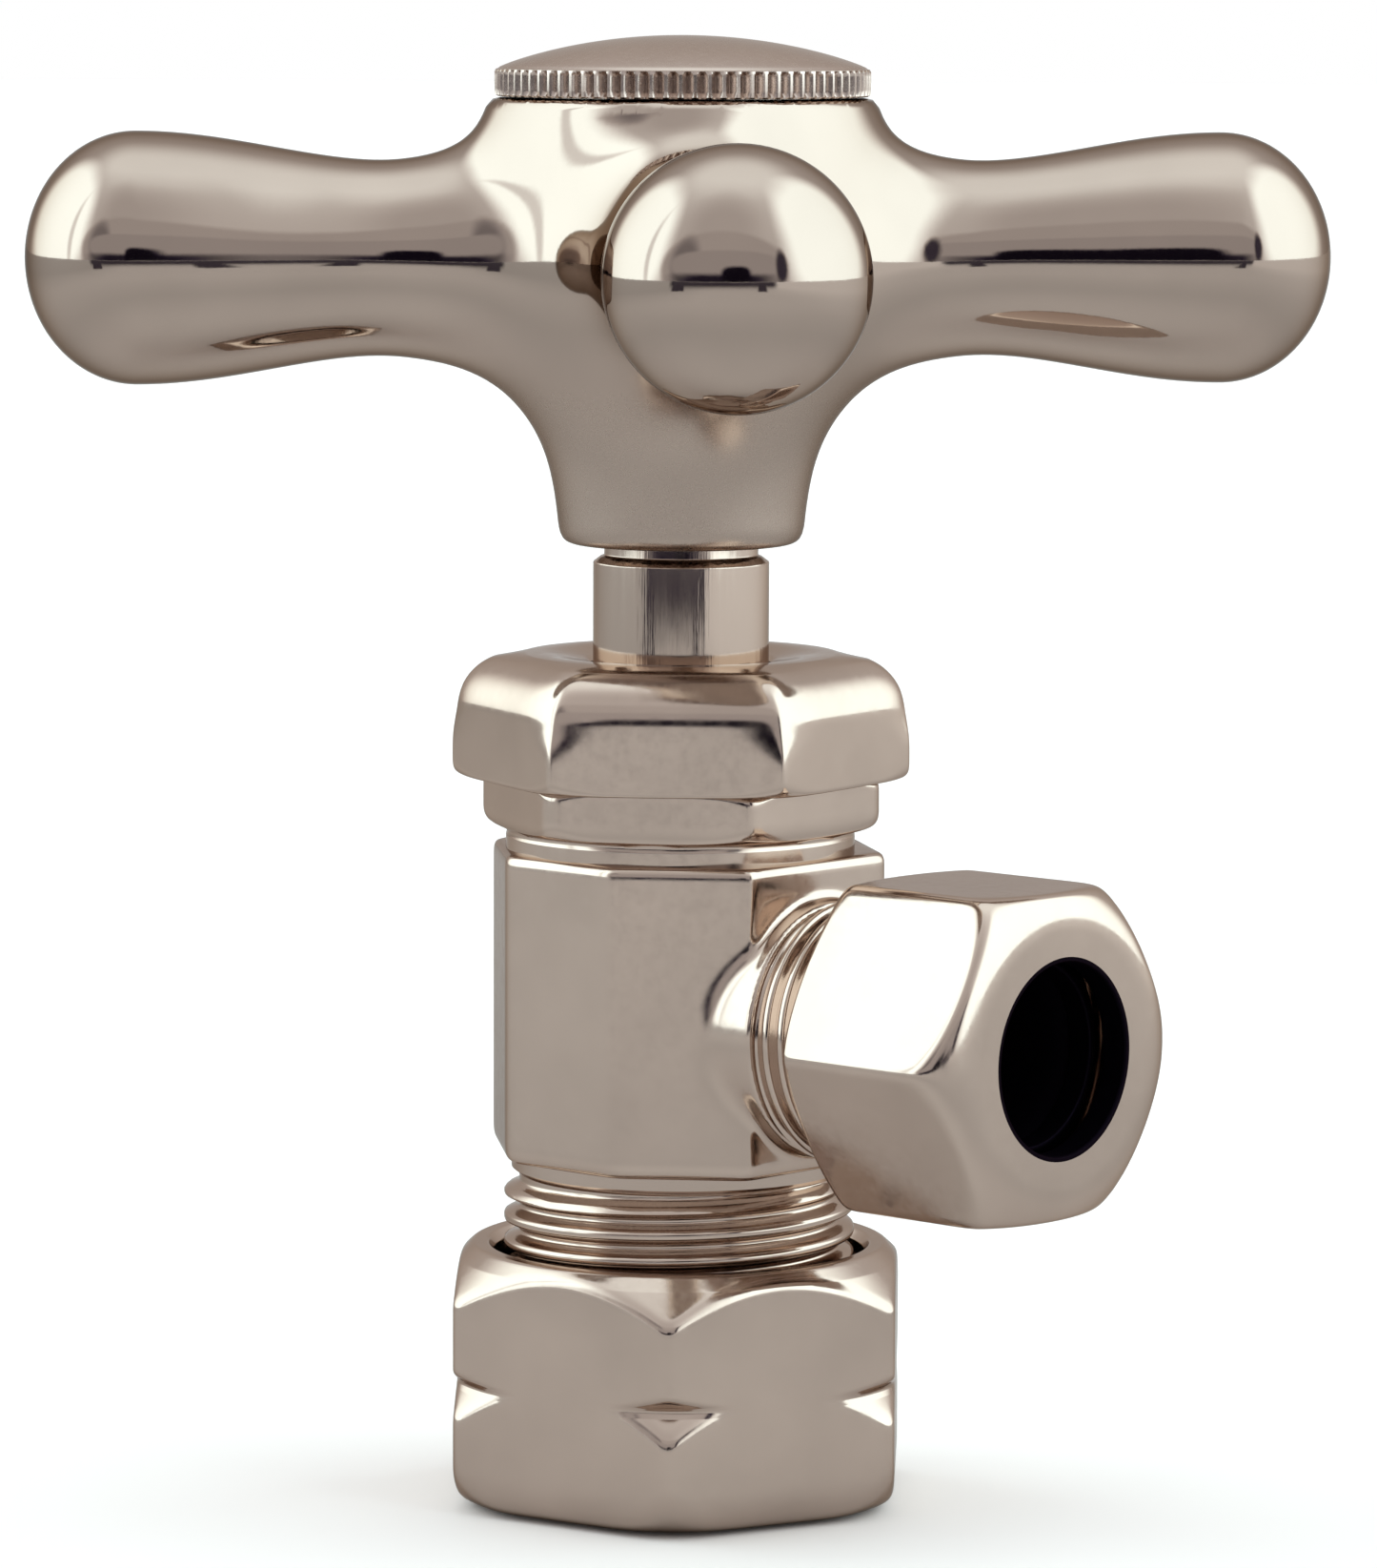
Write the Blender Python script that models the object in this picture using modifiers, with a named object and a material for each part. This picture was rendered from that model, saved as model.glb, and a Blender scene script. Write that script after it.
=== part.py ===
"""Angle stop valve: 5/8 in compression inlet below, 3/8 in compression outlet on +X, cross handle on top.

The valve axis is +Z, with its origin at the bottom of the inlet nut. Lengths below are in millimetres, and
MM turns them into metres. Levels are heights on the valve axis; the outlet's stations are distances along +X.
"""

import math

import bmesh
import bpy
import numpy as np
from mathutils import Matrix, Vector

MM = 0.001
GAP = 0.3  # clearance between pieces that touch or screw together
ROUND_STEPS = 40
INNER_STEPS = 24

# Inlet side: a 15/16 in hex nut on a 5/8 in compression thread.
INLET_NUT_FLATS = 24.0
INLET_NUT_HEIGHT = 13.9
INLET_NUT_TURN = 40.0  # degrees, the direction that one flat faces
INLET_TUBE_RADIUS = 7.94
INLET_BORE = 8.2
INLET_CREST = 9.84
INLET_ROOT = 9.0
INLET_PITCH = 1.41
INLET_THREAD_BOTTOM = 5.6
INLET_THREAD_TOP = 17.6
INLET_PLAIN_BELOW = 13.3  # crests that the nut hides are one plain band
INLET_TUBE_STOP = 13.0

# Body: an upright eight-sided forging with its outlet boss on +X.
BODY_BOTTOM = 18.8
BODY_TOP = 35.5
BODY_RELIEF = 9.4
BODY_OUTLINE = ((10.2, 5.45), (4.05, 10.0), (-3.6, 10.0), (-10.0, 4.2))
BODY_EDGE = 0.35
SEAT_LEVEL = 21.5
SEAT_FLOOR = 20.5
SEAT_ORIFICE = 3.6
SEAT_RIM = 4.6
CHAMBER = 6.9
CHAMBER_TOP = 31.3
BONNET_SOCKET = 8.2

# Outlet side: an 11/16 in hex nut on a 9/16-24 thread for 3/8 in tube.
OUTLET_LEVEL = 26.7
OUTLET_NUT_FLATS = 17.6
OUTLET_NUT_BACK = 16.2
OUTLET_NUT_FACE = 26.9
OUTLET_HOLE = 5.2
OUTLET_BORE = 4.95
OUTLET_TUBE_RADIUS = 4.76
OUTLET_CREST = 7.1
OUTLET_ROOT = 6.5
OUTLET_PITCH = 1.06
OUTLET_THREAD_START = 12.2
OUTLET_PLAIN_BEYOND = 16.5
OUTLET_BOSS_END = 23.2
OUTLET_PASSAGE = 3.4

# Bonnet and packing nut.
BONNET_NECK = 9.58
BONNET_HEX_FLATS = 19.3
BONNET_HEX_BOTTOM = 37.1
BONNET_HEX_TOP = 39.45
BONNET_HEX_TURN = 9.3
BONNET_SPIGOT = 7.9
BONNET_SPIGOT_BOTTOM = 32.6
BONNET_BOSS = 8.8
BONNET_BOSS_TOP = 42.9
PACKING_BOX = 7.3
PACKING_BOX_FLOOR = 39.9
PACKING_NUT_FLATS = 21.6
PACKING_NUT_BOTTOM = 39.75
PACKING_NUT_TOP = 46.1
PACKING_NUT_ROUND = 2.9
PACKING_NUT_TURN = 8.5
PACKING_NUT_BORE = 9.1
PACKING_NUT_ROOF = 43.9

# Stem and jumper, drawn fully open: three turns, 4.5 mm of lift.
STEM_RADIUS = 4.675
STEM_SHOULDER = 51.6
STEM_SPIGOT = 4.2
STEM_SQUARE = 6.0
STEM_SQUARE_BOTTOM = 53.6
STEM_TOP = 68.2
STEM_THREAD = 4.4
STEM_BOTTOM = 31.2
WASHER_BOTTOM = 26.1
WASHER_RADIUS = 5.3

# Cross handle and its index cap.
HANDLE_BOTTOM = 52.5
HANDLE_TOP = 76.45
HANDLE_TURN = 47.8
ARM_LEVEL = 67.8
ARM_WAIST = (5.2, 15.1)  # radius, and its distance from the valve axis
ARM_BALL = (6.7, 29.5)
ARM_TIP = 35.5
HUB_PROFILE = (
    (46.0, 6.6),
    (52.5, 6.65),
    (55.0, 6.75),
    (57.9, 7.0),
    (60.4, 7.6),
    (63.0, 8.7),
    (66.0, 9.3),
    (70.0, 9.6),
    (74.0, 9.9),
    (80.0, 10.1),
)
BLEND_BELOW = 9.4
BLEND_ABOVE = 7.0
HANDLE_VOXEL = 0.9
HANDLE_TRIANGLES = 2600
HANDLE_WEB_BOTTOM = 68.5
HANDLE_WEB_TOP = 71.0
HANDLE_POCKET = 8.2
CAP_RADIUS = 10.26
CAP_BOTTOM = 76.75
CAP_RIM_TOP = 77.9
CAP_TOP = 79.6
CAP_PLUG = 7.7

COLOURS = {
    "nickel": ((0.66, 0.6, 0.54, 1.0), 1.0, 0.16),
    "brass": ((0.72, 0.5, 0.22, 1.0), 1.0, 0.3),
    "steel": ((0.55, 0.56, 0.58, 1.0), 1.0, 0.3),
    "rubber": ((0.03, 0.03, 0.03, 1.0), 0.0, 0.6),
    "fibre": ((0.35, 0.12, 0.07, 1.0), 0.0, 0.7),
    "ptfe": ((0.85, 0.85, 0.82, 1.0), 0.0, 0.4),
}


def new_collection(name):
    collection = bpy.data.collections.new(name)
    bpy.context.scene.collection.children.link(collection)
    return collection


def clear_scene():
    for obj in list(bpy.data.objects):
        bpy.data.objects.remove(obj)


def material(name, kind):
    colour, metallic, roughness = COLOURS[kind]
    made = bpy.data.materials.new(name)
    made.use_nodes = True
    shader = made.node_tree.nodes["Principled BSDF"]
    shader.inputs["Base Color"].default_value = colour
    shader.inputs["Metallic"].default_value = metallic
    shader.inputs["Roughness"].default_value = roughness
    return made


def mesh_object(name, mesh, collection):
    obj = bpy.data.objects.new(name, mesh)
    collection.objects.link(obj)
    if collection is cutters:
        obj.hide_render = True
        obj.display_type = "WIRE"
    return obj


def lathe(name, profile, collection, steps=ROUND_STEPS, axis="Z", level=0.0):
    """A round solid. The (radius, height) profile runs down the outside and, on a ring, back up the inside."""
    closed = profile[0][0] > 0
    mesh = bpy.data.meshes.new(name)
    points = [(radius * MM, 0, height * MM) for radius, height in profile]
    count = len(points)
    edges = [(i, (i + 1) % count) for i in range(count if closed else count - 1)]
    mesh.from_pydata(points, edges, [])
    obj = mesh_object(name, mesh, collection)
    screw = obj.modifiers.new("Turn", "SCREW")
    screw.axis = "Z"
    screw.steps = steps
    screw.render_steps = steps
    screw.use_merge_vertices = True
    screw.merge_threshold = 1e-6
    if axis == "X":
        obj.rotation_euler = (0, math.radians(90), 0)
    obj.location = (0, 0, level * MM)
    return obj


def prism(name, outline, bottom, top, collection, round_top=0.0, round_bottom=0.0, segments=3):
    """An upright prism on an outline that runs anticlockwise, with its top or bottom edges rounded."""
    work = bmesh.new()
    low = [work.verts.new((x * MM, y * MM, bottom * MM)) for x, y in outline]
    high = [work.verts.new((x * MM, y * MM, top * MM)) for x, y in outline]
    count = len(outline)
    work.faces.new(low[::-1])
    work.faces.new(high)
    for i in range(count):
        after = (i + 1) % count
        work.faces.new((low[i], low[after], high[after], high[i]))
    for ring, size in ((high, round_top), (low, round_bottom)):
        if not size:
            continue
        picked = [e for e in work.edges if e.verts[0] in ring and e.verts[1] in ring]
        bmesh.ops.bevel(
            work, geom=picked, offset=size * MM, segments=segments, profile=0.5, affect="EDGES"
        )
    bmesh.ops.triangulate(work, faces=[f for f in work.faces if len(f.verts) > 4])
    mesh = bpy.data.meshes.new(name)
    work.to_mesh(mesh)
    work.free()
    return mesh_object(name, mesh, collection)


def hexagon(flats, turn):
    """The six corners of a hexagon, one of whose flats faces the direction turn."""
    radius = flats / math.sqrt(3)
    angles = [math.radians(turn + 30 + 60 * i) for i in range(6)]
    return [(radius * math.cos(a), radius * math.sin(a)) for a in angles]


def square(side):
    half = side / 2
    return [(half, half), (-half, half), (-half, -half), (half, -half)]


def boolean(obj, other, operation):
    modifier = obj.modifiers.new(operation.title(), "BOOLEAN")
    modifier.operation = operation
    modifier.solver = "EXACT"
    modifier.object = other


def ridges(crest, root, pitch, top, bottom):
    """Thread crests from top to bottom as (radius, height) points, each crest with a narrow flat."""
    points = []
    count = int((top - bottom) / pitch)
    for i in range(count):
        high = top - i * pitch
        points += [
            (root, high),
            (crest, high - 0.42 * pitch),
            (crest, high - 0.58 * pitch),
        ]
    points.append((root, top - count * pitch))
    return points


# ---- body ------------------------------------------------------------------------------------------------


def build_body():
    near = [(x, -y) for x, y in reversed(BODY_OUTLINE)]
    outline = list(BODY_OUTLINE) + near
    body = prism(
        "valve_body", outline, BODY_BOTTOM, BODY_TOP, parts, BODY_EDGE, BODY_EDGE, segments=1
    )
    inlet = lathe(
        "inlet_thread_solid",
        [(0, 24), (BODY_RELIEF, 24), (BODY_RELIEF, INLET_THREAD_TOP + 0.2)]
        + ridges(INLET_CREST, INLET_ROOT, INLET_PITCH, INLET_THREAD_TOP, INLET_PLAIN_BELOW)
        + [
            (INLET_CREST, INLET_PLAIN_BELOW - 0.8),
            (INLET_CREST, INLET_THREAD_BOTTOM + 0.5),
            (INLET_ROOT, INLET_THREAD_BOTTOM - 0.3),
            (0, INLET_THREAD_BOTTOM - 0.3),
        ],
        cutters,
    )
    boolean(body, inlet, "UNION")
    boss = lathe(
        "outlet_boss_solid",
        [
            (0, OUTLET_BOSS_END),
            (OUTLET_ROOT, OUTLET_BOSS_END),
            (OUTLET_CREST, OUTLET_BOSS_END - 0.7),
            (OUTLET_CREST, OUTLET_PLAIN_BEYOND + 0.8),
        ]
        + ridges(OUTLET_CREST, OUTLET_ROOT, OUTLET_PITCH, OUTLET_PLAIN_BEYOND, OUTLET_THREAD_START)
        + [(OUTLET_CREST, OUTLET_THREAD_START - 0.3), (OUTLET_CREST, 3.0), (0, 3.0)],
        cutters,
        steps=32,
        axis="X",
        level=OUTLET_LEVEL,
    )
    boolean(body, boss, "UNION")
    water_way = lathe(
        "body_bore",
        [
            (0, BODY_TOP + 2),
            (BONNET_SOCKET, BODY_TOP + 2),
            (BONNET_SOCKET, CHAMBER_TOP),
            (CHAMBER, CHAMBER_TOP),
            (CHAMBER, SEAT_FLOOR),
            (SEAT_RIM, SEAT_FLOOR),
            (SEAT_RIM - 0.4, SEAT_LEVEL),
            (SEAT_ORIFICE, SEAT_LEVEL),
            (SEAT_ORIFICE, 19.3),
            (5.2, 17.6),
            (5.2, INLET_TUBE_STOP),
            (INLET_BORE, INLET_TUBE_STOP),
            (INLET_BORE, INLET_THREAD_BOTTOM + 1.0),
            (8.75, INLET_THREAD_BOTTOM - 0.3),
            (8.75, 3.0),
            (0, 3.0),
        ],
        cutters,
        steps=INNER_STEPS,
    )
    boolean(body, water_way, "DIFFERENCE")
    side_way = lathe(
        "outlet_bore",
        [
            (0, OUTLET_BOSS_END + 1),
            (5.6, OUTLET_BOSS_END + 1),
            (5.6, OUTLET_BOSS_END),
            (OUTLET_BORE, OUTLET_BOSS_END - 0.9),
            (OUTLET_BORE, 13.5),
            (OUTLET_PASSAGE, 13.5),
            (OUTLET_PASSAGE, 5.0),
            (0, 5.0),
        ],
        cutters,
        steps=INNER_STEPS,
        axis="X",
        level=OUTLET_LEVEL,
    )
    boolean(body, side_way, "DIFFERENCE")


# ---- compression nuts and ferrules -----------------------------------------------------------------------


def cut_hex_nut(name, outline, bottom, top, ring, **placed):
    """A hexagonal nut: the turned ring gives its bore, chamfers and grooves, and the prism its flats."""
    nut = lathe(name, ring, parts, **placed)
    flats = prism(name + "_flats", outline, bottom - 1, top + 1, cutters)
    if placed.get("axis") == "X":
        flats.rotation_euler = nut.rotation_euler
        flats.location = nut.location
    boolean(nut, flats, "INTERSECT")


def build_inlet_nut():
    height = INLET_NUT_HEIGHT
    ring = [
        (10.5, height),
        (11.4, height),
        (12.1, 13.35),
        (14.2, 11.1),
        (14.2, 7.7),
        (12.55, 6.85),
        (12.65, 6.5),
        (14.2, 4.7),
        (14.2, 3.0),
        (13.6, 1.5),
        (12.75, 0.55),
        (11.4, 0.0),
        (INLET_BORE, 0.0),
        (INLET_BORE, 1.9),
        (INLET_CREST + GAP, 3.7),
        (INLET_CREST + GAP, height - 0.4),
    ]
    outline = hexagon(INLET_NUT_FLATS, INLET_NUT_TURN)
    cut_hex_nut("inlet_nut", outline, 0, height, ring)


def build_outlet_nut():
    face = OUTLET_NUT_FACE
    back = OUTLET_NUT_BACK
    ring = [
        (6.0, face),
        (7.7, face),
        (8.7, face - 0.45),
        (9.5, face - 1.1),
        (10.4, face - 2.2),
        (10.4, back + 0.9),
        (9.3, back),
        (OUTLET_CREST + 0.5, back),
        (OUTLET_CREST + GAP, back + 0.4),
        (OUTLET_CREST + GAP, face - 3.0),
        (OUTLET_HOLE, face - 1.6),
        (OUTLET_HOLE + 0.1, face - 0.5),
        (OUTLET_HOLE + 0.4, face - 0.1),
    ]
    outline = hexagon(OUTLET_NUT_FLATS, 0.0)
    cut_hex_nut("outlet_nut", outline, back, face, ring, axis="X", level=OUTLET_LEVEL)


def build_ferrules():
    inner = INLET_TUBE_RADIUS + 0.1
    lathe(
        "inlet_ferrule",
        [(inner, 5.0), (8.6, 5.0), (9.3, 4.4), (9.3, 3.9), (8.6, 2.7), (inner, 2.7)],
        parts,
        steps=INNER_STEPS,
    )
    inner = OUTLET_TUBE_RADIUS + 0.1
    end = OUTLET_BOSS_END
    lathe(
        "outlet_ferrule",
        [
            (inner, end + 1.8),
            (inner + 0.2, end + 1.8),
            (6.4, end + 0.9),
            (6.4, end + 0.6),
            (6.1, end + GAP),
            (inner, end + GAP),
        ],
        parts,
        steps=INNER_STEPS,
        axis="X",
        level=OUTLET_LEVEL,
    )


# ---- bonnet, packing and packing nut ---------------------------------------------------------------------


def build_bonnet():
    bonnet = prism(
        "bonnet",
        hexagon(BONNET_HEX_FLATS, BONNET_HEX_TURN),
        BONNET_HEX_BOTTOM,
        BONNET_HEX_TOP,
        parts,
        round_bottom=1.3,
        segments=2,
    )
    core = lathe(
        "bonnet_core",
        [
            (0, BONNET_BOSS_TOP),
            (BONNET_BOSS - 0.3, BONNET_BOSS_TOP),
            (BONNET_BOSS, BONNET_BOSS_TOP - 0.3),
            (BONNET_BOSS, BONNET_HEX_TOP - 0.6),
            (BONNET_NECK, BONNET_HEX_TOP - 0.9),
            (BONNET_NECK, BODY_TOP + GAP),
            (BONNET_SPIGOT, BODY_TOP + GAP),
            (BONNET_SPIGOT, BONNET_SPIGOT_BOTTOM + 0.3),
            (BONNET_SPIGOT - 0.3, BONNET_SPIGOT_BOTTOM),
            (0, BONNET_SPIGOT_BOTTOM),
        ],
        cutters,
    )
    boolean(bonnet, core, "UNION")
    bore = lathe(
        "bonnet_bore",
        [
            (0, BONNET_BOSS_TOP + 1),
            (PACKING_BOX, BONNET_BOSS_TOP + 1),
            (PACKING_BOX, PACKING_BOX_FLOOR),
            (STEM_RADIUS + GAP, PACKING_BOX_FLOOR),
            (STEM_RADIUS + GAP, BONNET_SPIGOT_BOTTOM - 1),
            (0, BONNET_SPIGOT_BOTTOM - 1),
        ],
        cutters,
        steps=INNER_STEPS,
    )
    boolean(bonnet, bore, "DIFFERENCE")


def flat_ring(name, inner, outer, bottom, top, ease=0.0):
    profile = [(inner, top), (outer - ease, top), (outer, top - ease), (outer, bottom + ease)]
    profile += [(outer - ease, bottom), (inner, bottom)]
    if not ease:
        profile = [(inner, top), (outer, top), (outer, bottom), (inner, bottom)]
    return lathe(name, profile, parts, steps=INNER_STEPS)


def build_packing():
    stem_side = STEM_RADIUS + GAP
    box_side = PACKING_BOX - GAP
    flat_ring("bonnet_gasket", 5.6, BONNET_SPIGOT, CHAMBER_TOP + GAP, BONNET_SPIGOT_BOTTOM - GAP)
    flat_ring("packing_washer", stem_side, box_side, 40.2, 40.8)
    flat_ring("stem_packing", stem_side, box_side, 41.1, 42.5, ease=0.25)
    flat_ring("friction_ring", stem_side, box_side, 42.8, 43.6)
    nut = prism(
        "packing_nut",
        hexagon(PACKING_NUT_FLATS, PACKING_NUT_TURN),
        PACKING_NUT_BOTTOM,
        PACKING_NUT_TOP,
        parts,
        round_top=PACKING_NUT_ROUND,
        segments=4,
    )
    bore = lathe(
        "packing_nut_bore",
        [
            (0, PACKING_NUT_TOP + 1),
            (stem_side, PACKING_NUT_TOP + 1),
            (stem_side, PACKING_NUT_ROOF),
            (PACKING_NUT_BORE, PACKING_NUT_ROOF),
            (PACKING_NUT_BORE, PACKING_NUT_BOTTOM - 1),
            (0, PACKING_NUT_BOTTOM - 1),
        ],
        cutters,
        steps=INNER_STEPS,
    )
    boolean(nut, bore, "DIFFERENCE")


# ---- stem and jumper -------------------------------------------------------------------------------------


def build_stem():
    stem = lathe(
        "stem",
        [
            (0, STEM_SQUARE_BOTTOM),
            (STEM_SPIGOT, STEM_SQUARE_BOTTOM),
            (STEM_SPIGOT, STEM_SHOULDER),
            (STEM_RADIUS - 0.3, STEM_SHOULDER),
            (STEM_RADIUS, STEM_SHOULDER - 0.3),
            (STEM_RADIUS, 39.0),
            (STEM_THREAD, 38.6),
            (STEM_THREAD, STEM_BOTTOM + 0.4),
            (STEM_THREAD - 0.4, STEM_BOTTOM),
            (0, STEM_BOTTOM),
        ],
        parts,
        steps=INNER_STEPS,
    )
    drive = prism("stem_square", square(STEM_SQUARE), 52.6, STEM_TOP, cutters)
    drive.rotation_euler = (0, 0, math.radians(HANDLE_TURN))
    boolean(stem, drive, "UNION")
    for name, radius, bottom, top in (
        ("screw_hole", 2.15, 59.5, STEM_TOP + 1),
        ("jumper_hole", 2.3, STEM_BOTTOM - 1, 37.0),
    ):
        hole = lathe(
            name,
            [(0, top), (radius, top), (radius, bottom), (0, bottom)],
            cutters,
            steps=24,
        )
        boolean(stem, hole, "DIFFERENCE")


def build_jumper():
    disc_bottom = WASHER_BOTTOM + 2.0
    jumper = lathe(
        "jumper",
        [
            (0, 36.7),
            (1.7, 36.7),
            (2.0, 36.4),
            (2.0, STEM_BOTTOM - 0.5),
            (3.4, STEM_BOTTOM - 0.5),
            (5.7, 29.9),
            (5.95, 29.6),
            (5.95, WASHER_BOTTOM + 0.8),
            (WASHER_RADIUS + GAP, WASHER_BOTTOM + 0.8),
            (WASHER_RADIUS + GAP, disc_bottom + GAP),
            (0, disc_bottom + GAP),
        ],
        parts,
        steps=INNER_STEPS,
    )
    hole = lathe(
        "jumper_screw_hole",
        [(0, 34.0), (1.5, 34.0), (1.5, 24.0), (0, 24.0)],
        cutters,
        steps=24,
    )
    boolean(jumper, hole, "DIFFERENCE")
    flat_ring("seat_washer", 1.6, WASHER_RADIUS, WASHER_BOTTOM, disc_bottom, ease=0.25)
    screw = lathe(
        "seat_washer_screw",
        [
            (0, 33.5),
            (1.2, 33.5),
            (1.2, WASHER_BOTTOM - GAP),
            (2.8, WASHER_BOTTOM - GAP),
            (2.8, WASHER_BOTTOM - 0.9),
            (2.2, WASHER_BOTTOM - 1.5),
            (0, WASHER_BOTTOM - 1.5),
        ],
        parts,
        steps=24,
    )
    slot = prism(
        "seat_screw_slot", [(3, 0.35), (-3, 0.35), (-3, -0.35), (3, -0.35)], 23.0, 25.0, cutters
    )
    boolean(screw, slot, "DIFFERENCE")


# ---- cross handle ----------------------------------------------------------------------------------------


def arm_radius(along):
    """The radius of an arm at a distance along it: a slim waist, then a ball."""
    waist, waist_at = ARM_WAIST
    ball, ball_at = ARM_BALL
    share = np.clip((along - waist_at) / (ball_at - waist_at), 0, 1)
    return waist + (ball - waist) * (0.5 - 0.5 * np.cos(math.pi * share))


def handle_field(points):
    """Signed distance, near enough, from the handle's skin: hub and arms blended into each other."""
    turn = math.radians(-HANDLE_TURN)
    x = points[:, 0] * math.cos(turn) - points[:, 1] * math.sin(turn)
    y = points[:, 0] * math.sin(turn) + points[:, 1] * math.cos(turn)
    z = points[:, 2]
    levels, radii = zip(*HUB_PROFILE)
    hub = np.hypot(x, y) - np.interp(z, levels, radii)
    along = np.maximum(abs(x), abs(y))
    across = np.hypot(np.minimum(abs(x), abs(y)), z - ARM_LEVEL)
    ball, ball_at = ARM_BALL
    shank = across - arm_radius(along)
    tip = (np.hypot(across / ball, (along - ball_at) / (ARM_TIP - ball_at)) - 1) * ball
    arm = np.where(along < ball_at, shank, tip)
    lift = np.clip((z - ARM_LEVEL) / 10 + 0.5, 0, 1)
    reach = BLEND_BELOW + (BLEND_ABOVE - BLEND_BELOW) * lift
    near = np.maximum(reach - abs(hub - arm), 0) / reach
    return np.minimum(hub, arm) - near * near * reach / 4


def settle(points, rounds=5, step=0.01):
    """Moves points onto the handle's skin by Newton steps along the field's slope."""
    for _ in range(rounds):
        value = handle_field(points)
        slope = np.stack(
            [
                (handle_field(points + step * axis) - handle_field(points - step * axis)) / (2 * step)
                for axis in np.eye(3)
            ],
            axis=1,
        )
        size = np.maximum((slope * slope).sum(axis=1), 0.25)
        points = points - (value / size)[:, None] * slope
    return points


def arm_profile():
    """An arm's outline from its tip back to the valve axis."""
    ball, ball_at = ARM_BALL
    length = ARM_TIP - ball_at
    bend = [math.radians(90 - 15 * i) for i in range(7)]
    points = [(ball * math.cos(a), ball_at + length * math.sin(a)) for a in bend]
    points[0] = (0, ARM_TIP)
    points += [(float(arm_radius(t)), t) for t in (26, 22, 18, 15, 8)]
    return points + [(ARM_WAIST[0], 0.0), (0, 0.0)]


def handle_skin():
    """The handle's outside as one smooth mesh, longer than the handle at top and bottom."""
    hub = [(0, 79.0)] + [(r, z) for z, r in reversed(HUB_PROFILE) if 50 < z < 79]
    rough = lathe("handle_rough", hub[:1] + [(10.0, 79.0)] + hub[1:] + [(6.6, 50.0), (0, 50.0)], cutters)
    for i in range(4):
        arm = lathe(f"handle_arm_{i}", arm_profile(), cutters, steps=24)
        spin = Matrix.Rotation(math.radians(HANDLE_TURN + 90 * i), 4, "Z")
        arm.matrix_world = (
            Matrix.Translation((0, 0, ARM_LEVEL * MM)) @ spin @ Matrix.Rotation(math.radians(90), 4, "Y")
        )
        boolean(rough, arm, "UNION")
    remesh = rough.modifiers.new("Even", "REMESH")
    remesh.mode = "VOXEL"
    remesh.voxel_size = HANDLE_VOXEL * MM
    graph = bpy.context.evaluated_depsgraph_get()
    faces = 2 * len(rough.evaluated_get(graph).data.polygons)
    thin = rough.modifiers.new("Thin", "DECIMATE")
    thin.ratio = HANDLE_TRIANGLES / faces
    graph = bpy.context.evaluated_depsgraph_get()
    mesh = bpy.data.meshes.new_from_object(rough.evaluated_get(graph))
    points = np.empty(len(mesh.vertices) * 3)
    mesh.vertices.foreach_get("co", points)
    points = points.reshape(-1, 3) / MM
    inner = (points[:, 2] > 50.6) & (points[:, 2] < 78.4)
    points[inner] = settle(points[inner])
    mesh.vertices.foreach_set("co", (points * MM).ravel())
    return mesh


def build_handle():
    handle = mesh_object("cross_handle", handle_skin(), parts)
    trim = lathe(
        "handle_trim",
        [(0, HANDLE_TOP), (40, HANDLE_TOP), (40, HANDLE_BOTTOM), (0, HANDLE_BOTTOM)],
        cutters,
        steps=24,
    )
    boolean(handle, trim, "INTERSECT")
    pocket = lathe(
        "handle_pocket",
        [
            (0, HANDLE_TOP + 1),
            (HANDLE_POCKET, HANDLE_TOP + 1),
            (HANDLE_POCKET, HANDLE_WEB_TOP),
            (2.3, HANDLE_WEB_TOP),
            (2.3, HANDLE_WEB_BOTTOM - 1),
            (0, HANDLE_WEB_BOTTOM - 1),
        ],
        cutters,
        steps=INNER_STEPS,
    )
    boolean(handle, pocket, "DIFFERENCE")
    socket = prism(
        "handle_square", square(STEM_SQUARE + 2 * GAP), 53.0, HANDLE_WEB_BOTTOM, cutters
    )
    socket.rotation_euler = (0, 0, math.radians(HANDLE_TURN))
    boolean(handle, socket, "DIFFERENCE")
    mouth = lathe(
        "handle_mouth",
        [(0, 54.0), (STEM_SPIGOT + GAP, 54.0), (STEM_SPIGOT + GAP, 51.0), (0, 51.0)],
        cutters,
        steps=INNER_STEPS,
    )
    boolean(handle, mouth, "DIFFERENCE")


def build_fastening():
    flat_ring("handle_lock_washer", 2.4, 4.0, HANDLE_WEB_TOP + GAP, HANDLE_WEB_TOP + 1.1)
    base = HANDLE_WEB_TOP + 1.4
    screw = lathe(
        "handle_screw",
        [(0, base + 1.7), (2.2, base + 1.7), (3.4, base + 0.8), (3.4, base), (1.85, base), (1.85, 60.4), (0, 60.4)],
        parts,
        steps=24,
    )
    slot = prism(
        "handle_screw_slot", [(4, 0.4), (-4, 0.4), (-4, -0.4), (4, -0.4)], base + 0.8, 75.5, cutters
    )
    boolean(screw, slot, "DIFFERENCE")


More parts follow.
